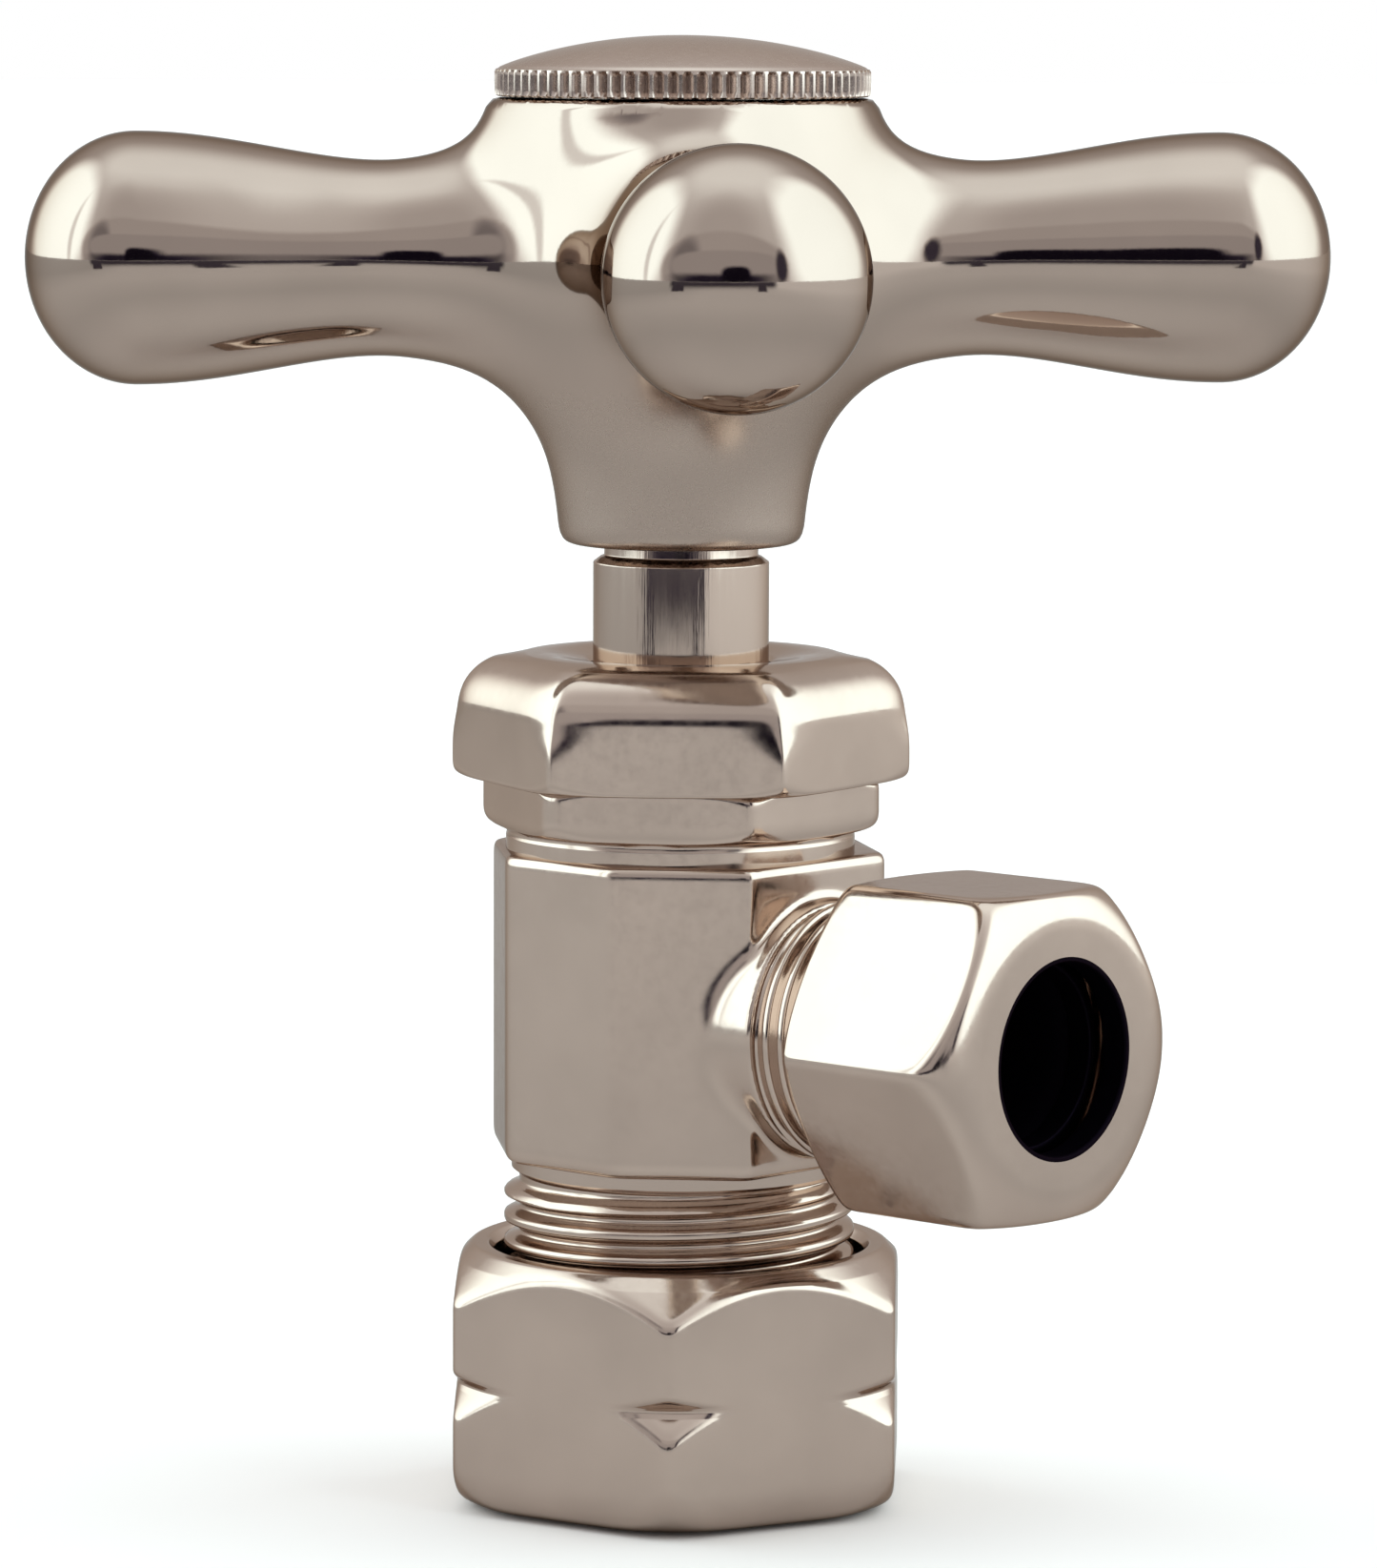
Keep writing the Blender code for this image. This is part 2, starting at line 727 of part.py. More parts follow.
def build_cap():
    lathe(
        "index_cap",
        [
            (0, CAP_TOP),
            (3.5, CAP_TOP - 0.12),
            (6.6, CAP_TOP - 0.5),
            (9.0, CAP_RIM_TOP + 0.5),
            (CAP_RADIUS - 0.25, CAP_RIM_TOP),
            (CAP_RADIUS, CAP_RIM_TOP - 0.2),
            (CAP_RADIUS, CAP_BOTTOM + 0.15),
            (CAP_RADIUS - 0.15, CAP_BOTTOM),
            (CAP_PLUG, CAP_BOTTOM),
            (CAP_PLUG, 75.9),
            (6.9, 75.9),
            (6.9, 74.4),
            (CAP_PLUG, 74.4),
            (CAP_PLUG, 73.9),
            (CAP_PLUG - 0.3, 73.6),
            (5.2, 73.6),
            (5.2, 76.2),
            (0, 76.2),
        ],
        parts,
    )
    flat_ring("cap_o_ring", 7.15, 7.9, 74.7, 75.6, ease=0.2)


def give_materials():
    kinds = {
        "bonnet_gasket": "fibre",
        "stem_packing": "ptfe",
        "seat_washer": "rubber",
        "cap_o_ring": "rubber",
        "handle_screw": "steel",
        "handle_lock_washer": "steel",
    }
    brass = ("packing_washer", "friction_ring", "jumper", "seat_washer_screw", "inlet_ferrule", "outlet_ferrule")
    for obj in parts.objects:
        kind = kinds.get(obj.name, "brass" if obj.name in brass else "nickel")
        obj.data.materials.clear()
        obj.data.materials.append(material(obj.name, kind))


clear_scene()
parts = new_collection("angle_stop_valve")
cutters = new_collection("cutters")
cutters.hide_render = True
build_body()
build_inlet_nut()
build_outlet_nut()
build_ferrules()
build_bonnet()
build_packing()
build_stem()
build_jumper()
build_handle()
build_fastening()
build_cap()
give_materials()
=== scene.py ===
"""Looks of the angle stop valve: polished nickel over brass, in a light tent.

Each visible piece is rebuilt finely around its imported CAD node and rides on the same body. Lengths
are in millimetres on the valve axis (+Z up from the bottom of the inlet nut, +X out of the outlet),
and MM turns them into metres.
"""

import math

import bmesh
import bpy
import numpy as np
from mathutils import Matrix, Vector


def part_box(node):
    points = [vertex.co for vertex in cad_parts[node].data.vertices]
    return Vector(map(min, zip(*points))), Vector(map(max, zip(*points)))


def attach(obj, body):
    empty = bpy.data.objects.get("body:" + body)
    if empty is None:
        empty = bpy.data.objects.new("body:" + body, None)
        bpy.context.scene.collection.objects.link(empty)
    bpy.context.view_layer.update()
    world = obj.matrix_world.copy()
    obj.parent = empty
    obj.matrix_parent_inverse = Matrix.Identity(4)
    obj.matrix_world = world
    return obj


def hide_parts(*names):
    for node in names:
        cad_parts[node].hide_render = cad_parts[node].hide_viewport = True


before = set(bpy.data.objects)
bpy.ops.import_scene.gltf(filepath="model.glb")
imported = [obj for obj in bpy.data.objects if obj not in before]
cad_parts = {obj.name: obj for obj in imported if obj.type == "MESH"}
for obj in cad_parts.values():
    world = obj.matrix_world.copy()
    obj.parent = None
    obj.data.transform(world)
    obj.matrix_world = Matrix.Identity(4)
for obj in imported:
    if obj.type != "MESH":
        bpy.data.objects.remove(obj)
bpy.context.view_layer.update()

MM = 0.001
TAU = 2 * math.pi

# Meshing of the hexagonal nuts
NO_LIMIT = 99.0  # a limit radius that never cuts the hexagon
HEX_HALF_STEPS = 22  # columns from the middle of a flat to its corner
HEX_CROWDING = 1.7  # how much closer together the columns are at the corner
CORNER_PER_INSET = 0.9  # how much rounder the upright corners get where the section is drawn in

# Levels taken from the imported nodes, with the small offsets that the finer shapes need.
OUTLET_LEVEL = (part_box("outlet_nut")[0].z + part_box("outlet_nut")[1].z) / 2 / MM
HANDLE_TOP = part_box("cross_handle")[1].z / MM
HANDLE_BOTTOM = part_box("cross_handle")[0].z / MM - 0.25
CAP_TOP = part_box("index_cap")[1].z / MM + 0.2

# Body
BODY_TOP = 35.7
BODY_BOTTOM = 18.8
BODY_OUTLINE = ((10.2, 5.45), (4.05, 10.0), (-3.6, 10.0), (-10.15, 4.25))
BOSS_RADIUS = 6.9
BOSS_START = 2.0
BOSS_END = 11.3
BODY_CORNER_EASE = 0.8
BODY_TOP_EASE = 0.8
BODY_BOTTOM_EASE = 1.3
BOSS_END_EASE = 0.4
BOSS_BLEND = 0.9

# Cross handle
HANDLE_TURN = 47.8
ARM_LEVEL = 67.8
ARM_WAIST = (5.2, 15.1)
ARM_BALL = (6.82, 29.5)
ARM_TIP = 35.5
HUB_PROFILE = (
    (40.0, 6.6),
    (50.0, 6.6),
    (52.5, 6.63),
    (55.0, 6.75),
    (57.9, 7.05),
    (60.4, 7.7),
    (63.0, 8.6),
    (66.0, 9.2),
    (70.0, 9.6),
    (74.0, 9.85),
    (80.0, 10.1),
)
# Reach of each blend: arms into the hub, below and above their level, then arm into arm
BLEND_BELOW = 11.8
BLEND_ABOVE = 9.3
BLEND_CHANGE = 4.0  # the height over which one gives way to the other
BLEND_BETWEEN = 9.0
SOCKET_HALF = 3.3  # half the width of the square socket in the hub
DRIVE_HALF = 3.0  # half the width of the stem's square drive
HANDLE_TOP_EASE = 0.8
HANDLE_FOOT_EASE = 1.6


# ---- small geometry kit ------------------------------------------------------------------------


def spline(stops):
    """A natural cubic curve through (x, y) stops, as a function of an array of x."""
    x, y = (np.array(values, float) for values in zip(*stops))
    gap = np.diff(x)
    count = len(x)
    matrix = np.eye(count)
    right = np.zeros(count)
    for i in range(1, count - 1):
        matrix[i, i - 1 : i + 2] = gap[i - 1], 2 * (gap[i - 1] + gap[i]), gap[i]
        right[i] = 6 * ((y[i + 1] - y[i]) / gap[i] - (y[i] - y[i - 1]) / gap[i - 1])
    bend = np.linalg.solve(matrix, right)

    def curve(at):
        at = np.clip(at, x[0], x[-1])
        i = np.clip(np.searchsorted(x, at) - 1, 0, count - 2)
        low, high = x[i + 1] - at, at - x[i]
        cubic = (bend[i] * low**3 + bend[i + 1] * high**3) / (6 * gap[i])
        return (
            cubic
            + (y[i] / gap[i] - bend[i] * gap[i] / 6) * low
            + (y[i + 1] / gap[i] - bend[i + 1] * gap[i] / 6) * high
        )

    return curve


def soft_min(a, b, reach):
    """The smaller of two fields, rounded where they meet, with no jump in curvature."""
    near = np.maximum(reach - abs(a - b), 0) / reach
    return np.minimum(a, b) - near**3 * reach / 6


def soft_max(a, b, reach):
    """The larger of two fields, rounded in the same way."""
    return -soft_min(-a, -b, reach)


def filleted(stops, closed=False, segments=7):
    """The (x, y) points of an outline whose (x, y, radius) corners are rounded into arcs."""
    count = len(stops)
    made = []
    for i, (x, y, radius) in enumerate(stops):
        here = np.array((x, y))
        if radius <= 0 or (not closed and i in (0, count - 1)):
            made.append(here)
            continue
        back = np.array(stops[i - 1][:2]) - here
        ahead = np.array(stops[(i + 1) % count][:2]) - here
        room = 0.49 * min(np.linalg.norm(back), np.linalg.norm(ahead))
        back, ahead = back / np.linalg.norm(back), ahead / np.linalg.norm(ahead)
        half = math.acos(float(np.clip(back @ ahead, -1, 1))) / 2
        run = min(radius / math.tan(half), room)
        radius = run * math.tan(half)
        middle = here + (back + ahead) / np.linalg.norm(back + ahead) * radius / math.sin(half)
        first = math.atan2(*(here + back * run - middle)[::-1])
        last = math.atan2(*(here + ahead * run - middle)[::-1])
        sweep = (last - first + math.pi) % TAU - math.pi
        for k in range(segments + 1):
            angle = first + sweep * k / segments
            made.append(middle + radius * np.array((math.cos(angle), math.sin(angle))))
    return [(float(a), float(b)) for a, b in made]


def subdivided(points, longest):
    """The same outline with no step longer than longest."""
    made = [points[0]]
    for (x0, y0), (x1, y1) in zip(points, points[1:]):
        count = max(1, math.ceil(math.hypot(x1 - x0, y1 - y0) / longest))
        for k in range(1, count + 1):
            made.append((x0 + (x1 - x0) * k / count, y0 + (y1 - y0) * k / count))
    return made


def mesh_object(name, points, faces, weld=True, smooth_angle=28):
    """An object from points in millimetres, welded, facing out and smooth except at real edges."""
    mesh = bpy.data.meshes.new(name)
    mesh.from_pydata([tuple(p) for p in np.asarray(points) * MM], [], faces)
    if weld:
        work = bmesh.new()
        work.from_mesh(mesh)
        bmesh.ops.remove_doubles(work, verts=work.verts, dist=2e-7)
        bmesh.ops.dissolve_degenerate(work, edges=work.edges, dist=1e-8)
        bmesh.ops.recalc_face_normals(work, faces=work.faces)
        work.to_mesh(mesh)
        work.free()
    mesh.shade_smooth()
    mesh.set_sharp_from_angle(angle=math.radians(smooth_angle))
    obj = bpy.data.objects.new(name, mesh)
    bpy.context.scene.collection.objects.link(obj)
    return obj


def ring_faces(rows, columns, closed):
    """Quads of a grid whose columns go right round, and whose rows do too if closed."""
    faces = []
    for i in range(rows if closed else rows - 1):
        below = (i + 1) % rows
        for j in range(columns):
            right = (j + 1) % columns
            corners = ((i, j), (i, right), (below, right), (below, j))
            faces.append(tuple(row * columns + column for row, column in corners))
    return faces


def turned(points, axis, level):
    """Points built about local Z, laid on the valve axis or on the outlet's axis."""
    if axis == "Z":
        return points
    x, y, z = points[..., 0], points[..., 1], points[..., 2]
    return np.stack([z, y, level - x], axis=-1)


def lathe(name, stops, steps=160, axis="Z", level=0.0, radius_of=None):
    """A turned solid from (radius, height, fillet) stops, carved by radius_of where it is given.

    Stops that end on the axis make a solid; others go right round a ring's section."""
    closed = min(stops[0][0], stops[-1][0]) > 0
    outline = filleted(stops, closed)
    angles = np.arange(steps) * TAU / steps
    radius = np.array([p[0] for p in outline])[:, None] * np.ones(steps)
    height = np.array([p[1] for p in outline])[:, None] * np.ones(steps)
    if radius_of:
        radius = radius_of(radius, height, angles[None, :])
    grid = np.stack([radius * np.cos(angles), radius * np.sin(angles), height], axis=-1)
    points = turned(grid, axis, level).reshape(-1, 3)
    return mesh_object(name, points, ring_faces(len(outline), steps, closed))


def hex_radius(angle, apothem, corner):
    """Distance from the centre to a hexagon with rounded corners, one flat facing angle 0."""
    fold = abs((angle + math.pi / 6) % (math.pi / 3) - math.pi / 6)
    straight = apothem / np.cos(fold)
    centre = (apothem - corner) / math.cos(math.pi / 6)
    swing = math.pi / 6 - fold
    inside = np.maximum(corner**2 - (centre * np.sin(swing)) ** 2, 0)
    arc = centre * np.cos(swing) + np.sqrt(inside)
    on_corner = apothem * np.tan(fold) > (apothem - corner) * math.tan(math.pi / 6)
    return np.where(on_corner, arc, straight)


def hex_angles():
    """Angles round a hexagon, closer together at its corners."""
    share = np.arange(HEX_HALF_STEPS) / HEX_HALF_STEPS
    half = math.pi / 6 * (1 - (1 - share) ** HEX_CROWDING)
    one = np.concatenate([half, math.pi / 3 - half[::-1][:-1], [math.pi / 6]])
    one = np.unique(np.round(one, 9))
    return np.concatenate([one + k * math.pi / 3 for k in range(6)])


def hex_nut(name, rows, flats, turn, corner, reach, core, axis="Z", level=0.0):
    """A nut from (limit radius, height, inset) rows.

    Each section is the hexagon less its inset, kept inside the limit radius with the edge eased
    over reach, and a plain circle where the limit is within the core. The rows run all the way
    round the nut's half section and back to the first."""
    angles = hex_angles()
    rows = np.array(rows, float)
    limit, height, inset = rows[:, 0:1], rows[:, 1:2], rows[:, 2:3]
    side = hex_radius(angles[None, :], flats / 2 - inset, corner + CORNER_PER_INSET * inset)
    radius = np.where(limit <= core, limit + 0 * side, soft_min(side, limit, reach))
    turned_angle = angles + math.radians(turn)
    x, y = radius * np.cos(turned_angle), radius * np.sin(turned_angle)
    grid = np.stack([x, y, height + 0 * radius], axis=-1)
    points = turned(grid, axis, level).reshape(-1, 3)
    faces = ring_faces(len(rows), len(angles), True)
    obj = mesh_object(name, points, faces, smooth_angle=40)
    weighted = obj.modifiers.new("Weighted normals", "WEIGHTED_NORMAL")
    weighted.keep_sharp = True
    return obj


def plain_rows(stops, longest=NO_LIMIT, segments=6):
    """Rows without inset along a filleted outline of (limit radius, height, fillet) stops."""
    outline = subdivided(filleted(stops, False, segments), longest)
    return [(radius, height, 0.0) for radius, height in outline]


def curved_rows(stops, step=0.14):
    """Rows along a smooth curve through (limit radius, height, inset) stops, about a step apart."""
    stops = np.array(stops, float)
    run = np.concatenate([[0], np.cumsum(np.hypot(*np.diff(stops[:, :2], axis=0).T))])
    at = np.linspace(0, run[-1], max(2, math.ceil(run[-1] / step)))
    columns = [spline(list(zip(run, stops[:, k])))(at) for k in range(3)]
    return [tuple(float(v) for v in row) for row in zip(*columns)]


# ---- solids carved from a field ----------------------------------------------------------------


FLATTEST_SLOPE = 0.2  # below this squared slope a Newton step is held back
SKIN_DEPTH = 0.02  # how close to the field's surface a vertex counts as lying on it


def slope_of(field, points, step=0.004):
    """The field's slope at each point, by central differences."""
    return np.stack(
        [(field(points + step * e) - field(points - step * e)) / (2 * step) for e in np.eye(3)],
        axis=1,
    )


def settle(field, points, rounds=6):
    """Moves points onto the field's zero surface by Newton steps."""
    for _ in range(rounds):
        slope = slope_of(field, points)
        size = np.maximum((slope * slope).sum(axis=1), FLATTEST_SLOPE)
        points = points - (field(points) / size)[:, None] * slope
    return points


def vertex_array(mesh):
    """A mesh's vertices in millimetres."""
    points = np.empty(len(mesh.vertices) * 3)
    mesh.vertices.foreach_get("co", points)
    return points.reshape(-1, 3) / MM


def applied(obj):
    """Replaces an object's mesh by what its modifiers make of it."""
    graph = bpy.context.evaluated_depsgraph_get()
    mesh = bpy.data.meshes.new_from_object(obj.evaluated_get(graph))
    obj.modifiers.clear()
    obj.data = mesh
    return obj


def carved(name, rough, field, voxel, bores):
    """A smooth solid: the rough one remeshed evenly, settled onto the field, then bored."""
    remesh = rough.modifiers.new("Even", "REMESH")
    remesh.mode = "VOXEL"
    remesh.voxel_size = voxel * MM
    applied(rough)
    rough.name = name
    rough.data.name = name
    settled = settle(field, vertex_array(rough.data))
    rough.data.vertices.foreach_set("co", (settled * MM).ravel())
    for bore in bores:
        cut = rough.modifiers.new("Bore", "BOOLEAN")
        cut.operation = "DIFFERENCE"
        cut.solver = "EXACT"
        cut.object = bore
    applied(rough)
    for bore in bores:
        bpy.data.objects.remove(bore)
    mesh = rough.data
    points = vertex_array(mesh)
    on_skin = abs(field(points)) < SKIN_DEPTH
    normals = slope_of(field, points)
    normals /= np.maximum(np.linalg.norm(normals, axis=1), 1e-9)[:, None]
    corner = np.empty(len(mesh.loops), int)
    mesh.loops.foreach_get("vertex_index", corner)
    starts = np.empty(len(mesh.polygons), int)
    mesh.polygons.foreach_get("loop_start", starts)
    outer = np.minimum.reduceat(on_skin[corner].astype(int), starts).astype(bool)
    totals = np.diff(np.append(starts, len(corner)))
    mesh.polygons.foreach_set("use_smooth", outer)
    custom = np.where(np.repeat(outer, totals)[:, None], normals[corner], 0.0)
    mesh.normals_split_custom_set([tuple(n) for n in custom])
    return rough


def square_outline(half):
    return [(half, half), (-half, half), (-half, -half), (half, -half)]


def joined(first, others, operation="UNION"):
    """Adds other solids to the first, or cuts them from it."""
    for other in others:
        join = first.modifiers.new("Join", "BOOLEAN")
        join.operation = operation
        join.solver = "EXACT"
        join.object = other
    applied(first)
    for other in others:
        bpy.data.objects.remove(other)
    return first


def prism(name, outline, bottom, top, turn=0.0):
    """An upright solid over an outline of (x, y) points, turned about the valve axis."""
    count = len(outline)
    spin = Matrix.Rotation(math.radians(turn), 2)
    flat = [spin @ Vector(p) for p in outline]
    points = [(x, y, bottom) for x, y in flat] + [(x, y, top) for x, y in flat]
    faces = [tuple(range(count))[::-1], tuple(range(count, 2 * count))]
    for i in range(count):
        after = (i + 1) % count
        faces.append((i, after, after + count, i + count))
    return mesh_object(name, points, faces)


# ---- cross handle ------------------------------------------------------------------------------

hub_radius = spline(HUB_PROFILE)


def arm_radius(along):
    """An arm's radius, swelling from its waist to its ball."""
    waist, waist_at = ARM_WAIST
    ball, ball_at = ARM_BALL
    share = np.clip((along - waist_at) / (ball_at - waist_at), 0, 1)
    return waist + (ball - waist) * (0.5 - 0.5 * np.cos(math.pi * share))


def arm_field(along, across):
    """Distance from one arm's skin: a shank up to the ball's middle, then an egg-shaped tip."""
    ball, ball_at = ARM_BALL
    shank = across - arm_radius(along)
    tip = (np.hypot(across / ball, (along - ball_at) / (ARM_TIP - ball_at)) - 1) * ball
    return np.where(along < ball_at, shank, tip)


def handle_field(points):
    """Signed distance, near enough, from the handle's skin."""
    turn = math.radians(-HANDLE_TURN)
    x = points[:, 0] * math.cos(turn) - points[:, 1] * math.sin(turn)
    y = points[:, 0] * math.sin(turn) + points[:, 1] * math.cos(turn)
    z = points[:, 2]
    hub = np.hypot(x, y) - hub_radius(z)
    high = z - ARM_LEVEL
    along_x = arm_field(abs(x), np.hypot(y, high))
    along_y = arm_field(abs(y), np.hypot(x, high))
    arms = soft_min(along_x, along_y, BLEND_BETWEEN)
    lift = 0.5 + 0.5 * np.tanh(high / BLEND_CHANGE)
    reach = BLEND_BELOW + (BLEND_ABOVE - BLEND_BELOW) * lift
    near = np.maximum(reach - abs(hub - arms), 0) / reach
    skin = np.minimum(hub, arms) - near**3 * reach / 6
    skin = soft_max(skin, z - HANDLE_TOP, HANDLE_TOP_EASE)
    return soft_max(skin, HANDLE_BOTTOM - z, HANDLE_FOOT_EASE)


def build_handle():
    """The casting, with a pocket for the cap's plug, a square socket and a mouth round the stem."""
    foot = [(6.6, HANDLE_BOTTOM, 0), (0, HANDLE_BOTTOM, 0)]
    hub_stops = [(0, HANDLE_TOP, 0), (9.8, HANDLE_TOP, 0), (9, 64, 0), (6.6, 56, 0)] + foot
    hub = lathe("hub", hub_stops, steps=48)
    arm_stops = [(0, ARM_TIP, 0), (4.5, ARM_TIP - 1.2, 0), (6.3, 31.5, 0), (6.5, 28, 0)]
    arm_stops += [(5.2, 15, 0), (6.5, 6, 0), (6.5, 0, 0), (0, 0, 0)]
    arms = []
    for i in range(4):
        arm = lathe(f"arm_{i}", arm_stops, steps=32)
        arm.matrix_world = (
            Matrix.Translation((0, 0, ARM_LEVEL * MM))
            @ Matrix.Rotation(math.radians(HANDLE_TURN + 90 * i), 4, "Z")
            @ Matrix.Rotation(math.radians(90), 4, "Y")
        )
        arms.append(arm)
    bpy.context.view_layer.update()
    rough = joined(hub, arms)
    pocket = lathe(
        "pocket",
        [(0, 90, 0), (8.2, 90, 0), (8.2, 71, 0), (2.3, 71, 0), (2.3, 66, 0), (0, 66, 0)],
        steps=96,
    )
    socket = prism("socket", square_outline(SOCKET_HALF), 53, 68.5, HANDLE_TURN)
    mouth = lathe("mouth", [(0, 54, 0), (4.5, 54, 0), (4.5, 40, 0), (0, 40, 0)], steps=96)
    voxel = 0.34
    return carved("handle_casting", rough, handle_field, voxel, [pocket, socket, mouth])


# ---- body --------------------------------------------------------------------------------------


def body_corners():
    """The whole eight-sided outline: the given side and its mirror image."""
    return list(BODY_OUTLINE) + [(x, -y) for x, y in reversed(BODY_OUTLINE)]


def outline_field(x, y):
    """Distance from the body's outline, with its upright corners eased."""
    corners = body_corners()
    field = None
    for (x0, y0), (x1, y1) in zip(corners, corners[1:] + corners[:1]):
        length = math.hypot(x1 - x0, y1 - y0)
        side = ((y1 - y0) * (x - x0) - (x1 - x0) * (y - y0)) / length
        field = side if field is None else soft_max(field, side, BODY_CORNER_EASE)
    return field


def body_field(points):
    """Distance from the forging: the eight-sided prism with the outlet's round boss."""
    x, y, z = points.T
    prism_part = soft_max(outline_field(x, y), z - BODY_TOP, BODY_TOP_EASE)
    prism_part = soft_max(prism_part, BODY_BOTTOM - z, BODY_BOTTOM_EASE)
    boss = np.maximum(np.hypot(y, z - OUTLET_LEVEL) - BOSS_RADIUS, BOSS_START - x)
    boss = soft_max(boss, x - BOSS_END, BOSS_END_EASE)
    return soft_min(prism_part, boss, BOSS_BLEND)


def build_body():
    """The forging, bored from above down to the seat and from the side into the outlet."""
    rough = prism("body_rough", body_corners(), BODY_BOTTOM, BODY_TOP)
    boss_stops = [(0, BOSS_END, 0), (BOSS_RADIUS, BOSS_END, 0), (BOSS_RADIUS, BOSS_START, 0)]
    boss_stops += [(0, BOSS_START, 0)]
    boss = lathe("boss", boss_stops, steps=96, axis="X", level=OUTLET_LEVEL)
    joined(rough, [boss])
    down = [(0, 40, 0), (8.2, 40, 0), (8.2, 31.3, 0), (6.9, 31.3, 0), (6.9, 20.5, 0)]
    down += [(4.6, 20.5, 0), (4.2, 21.5, 0), (3.6, 21.5, 0), (3.6, 19.3, 0), (5.2, 17.6, 0)]
    down += [(5.2, 15, 0), (0, 15, 0)]
    water_way = lathe("water_way", down, steps=128)
    side = [(0, 30, 0), (6.0, 30, 0), (6.0, 12, 0), (3.4, 12, 0), (3.4, 5, 0), (0, 5, 0)]
    side_way = lathe("side_way", side, steps=96, axis="X", level=OUTLET_LEVEL)
    voxel = 0.21
    return carved("body_forging", rough, body_field, voxel, [water_way, side_way])


CREST_GAIN = 1.25  # flattens the thread's crests
CREST_CUT = 0.08  # widens its roots
CREST_STEP = 0.45  # how far its flanks are steepened


def thread(name, crest, root, pitch, low, high, rest, axis="Z", level=0.0, fade=1.0):
    """A screw thread from height low to high, closed by the rest of the half section.

    The rest goes on from (root, high), and the crest fades out over the length fade at both ends."""
    across, round_steps = 14, 112
    turns = (high - low) / pitch + 1
    total = math.ceil(turns * round_steps)
    turn_index = np.arange(total + 1)[:, None]
    share = np.arange(across + 1)[None, :] / across
    height = low - pitch + pitch * (turn_index / round_steps + share)
    ridge = 0.5 + 0.5 * np.cos(TAU * (share - 0.5))
    ridge = np.clip(CREST_GAIN * ridge - CREST_CUT, 0, 1)
    stepped = ridge * ridge * (3 - 2 * ridge)
    ridge = stepped * CREST_STEP + ridge * (1 - CREST_STEP)
    height = np.clip(height, low, high)
    ends = np.clip(np.minimum(height - low, high - height) / fade, 0, 1)
    radius = root + (crest - root) * ridge * ends
    angle = turn_index * TAU / round_steps + 0 * share
    grid = np.stack([radius * np.cos(angle), radius * np.sin(angle), height], axis=-1)
    points = [tuple(p) for p in turned(grid, axis, level).reshape(-1, 3)]
    wide = across + 1
    faces = []
    for i in range(total):
        for j in range(across):
            a = i * wide + j
            faces.append((a, a + wide, a + wide + 1, a + 1))
    outline = [(root, high)] + filleted(rest, False, 5) + [(root, low)]
    around = np.arange(round_steps) * TAU / round_steps
    first = len(points)
    for r, z in outline:
        ring = np.stack([r * np.cos(around), r * np.sin(around), z + 0 * around], axis=-1)
        points += [tuple(p) for p in turned(ring, axis, level)]
    faces += [tuple(first + k for k in f) for f in ring_faces(len(outline), round_steps, False)]
    return mesh_object(name, points, faces, smooth_angle=50)


def build_threads():
    inlet_rest = [(9.22, 18.1, 0.2), (9.22, 18.95, 0), (5.2, 18.95, 0), (5.2, 13, 0)]
    inlet_rest += [(8.2, 13, 0), (8.2, 6.4, 0), (8.6, 5.3, 0)]
    inlet = thread(
        "inlet_thread",
        crest=9.62,
        root=8.78,
        pitch=1.41,
        low=5.3,
        high=17.75,
        rest=inlet_rest,
    )
    outlet_rest = [(5.6, 23.2, 0), (4.95, 22.3, 0), (4.95, 13.5, 0), (3.4, 13.5, 0)]
    outlet_rest += [(3.4, 10.8, 0), (6.45, 10.8, 0)]
    outlet = thread(
        "outlet_thread",
        crest=7.1,
        root=6.45,
        pitch=1.06,
        low=11.2,
        high=23.2,
        rest=outlet_rest,
        axis="X",
        level=OUTLET_LEVEL,
        fade=0.7,
    )
    return inlet, outlet


# ---- nuts --------------------------------------------------------------------------------------


def build_inlet_nut():
    """The large nut: chamfered top, a V groove round its middle, and a rounded foot."""
    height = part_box("inlet_nut")[1].z / MM
    top = [(10.14, 6.0, 0), (10.14, height - 0.5, 0.2), (10.5, height, 0.25), (11.35, height, 0.5)]
    top += [(12.2, height - 0.75, 0.9), (14.6, height - 3.4, 0)]
    groove = [(14.6, 8.1, 0), (12.86, 6.98, 0.25), (12.7, 6.75, 0.2), (12.86, 6.4, 0.2)]
    groove += [(14.6, 4.1, 0)]
    rows = plain_rows(top, 0.14)
    rows += [(NO_LIMIT, z, 0.0) for z in np.linspace(height - 3.6, 8.3, 6)]
    rows += plain_rows(groove, 0.12)
    foot = [(14.5, 3.4, 0.0), (14.1, 2.6, 0.0), (13.7, 1.8, 0.0), (13.3, 1.15, 0.04)]
    foot += [(12.85, 0.6, 0.16), (12.3, 0.22, 0.45), (11.7, 0.03, 0.9), (10.9, 0.0, 1.4)]
    rows += [(NO_LIMIT, 3.6, 0.0)] + curved_rows(foot)
    rows += plain_rows([(9.4, 0, 0), (8.55, 0, 0), (8.2, 0.35, 0), (8.2, 1.9, 0), (10.14, 3.7, 0)])
    return hex_nut(
        "inlet_compression_nut", rows, flats=24.0, turn=40.0, corner=1.0, reach=0.6, core=9.5
    )


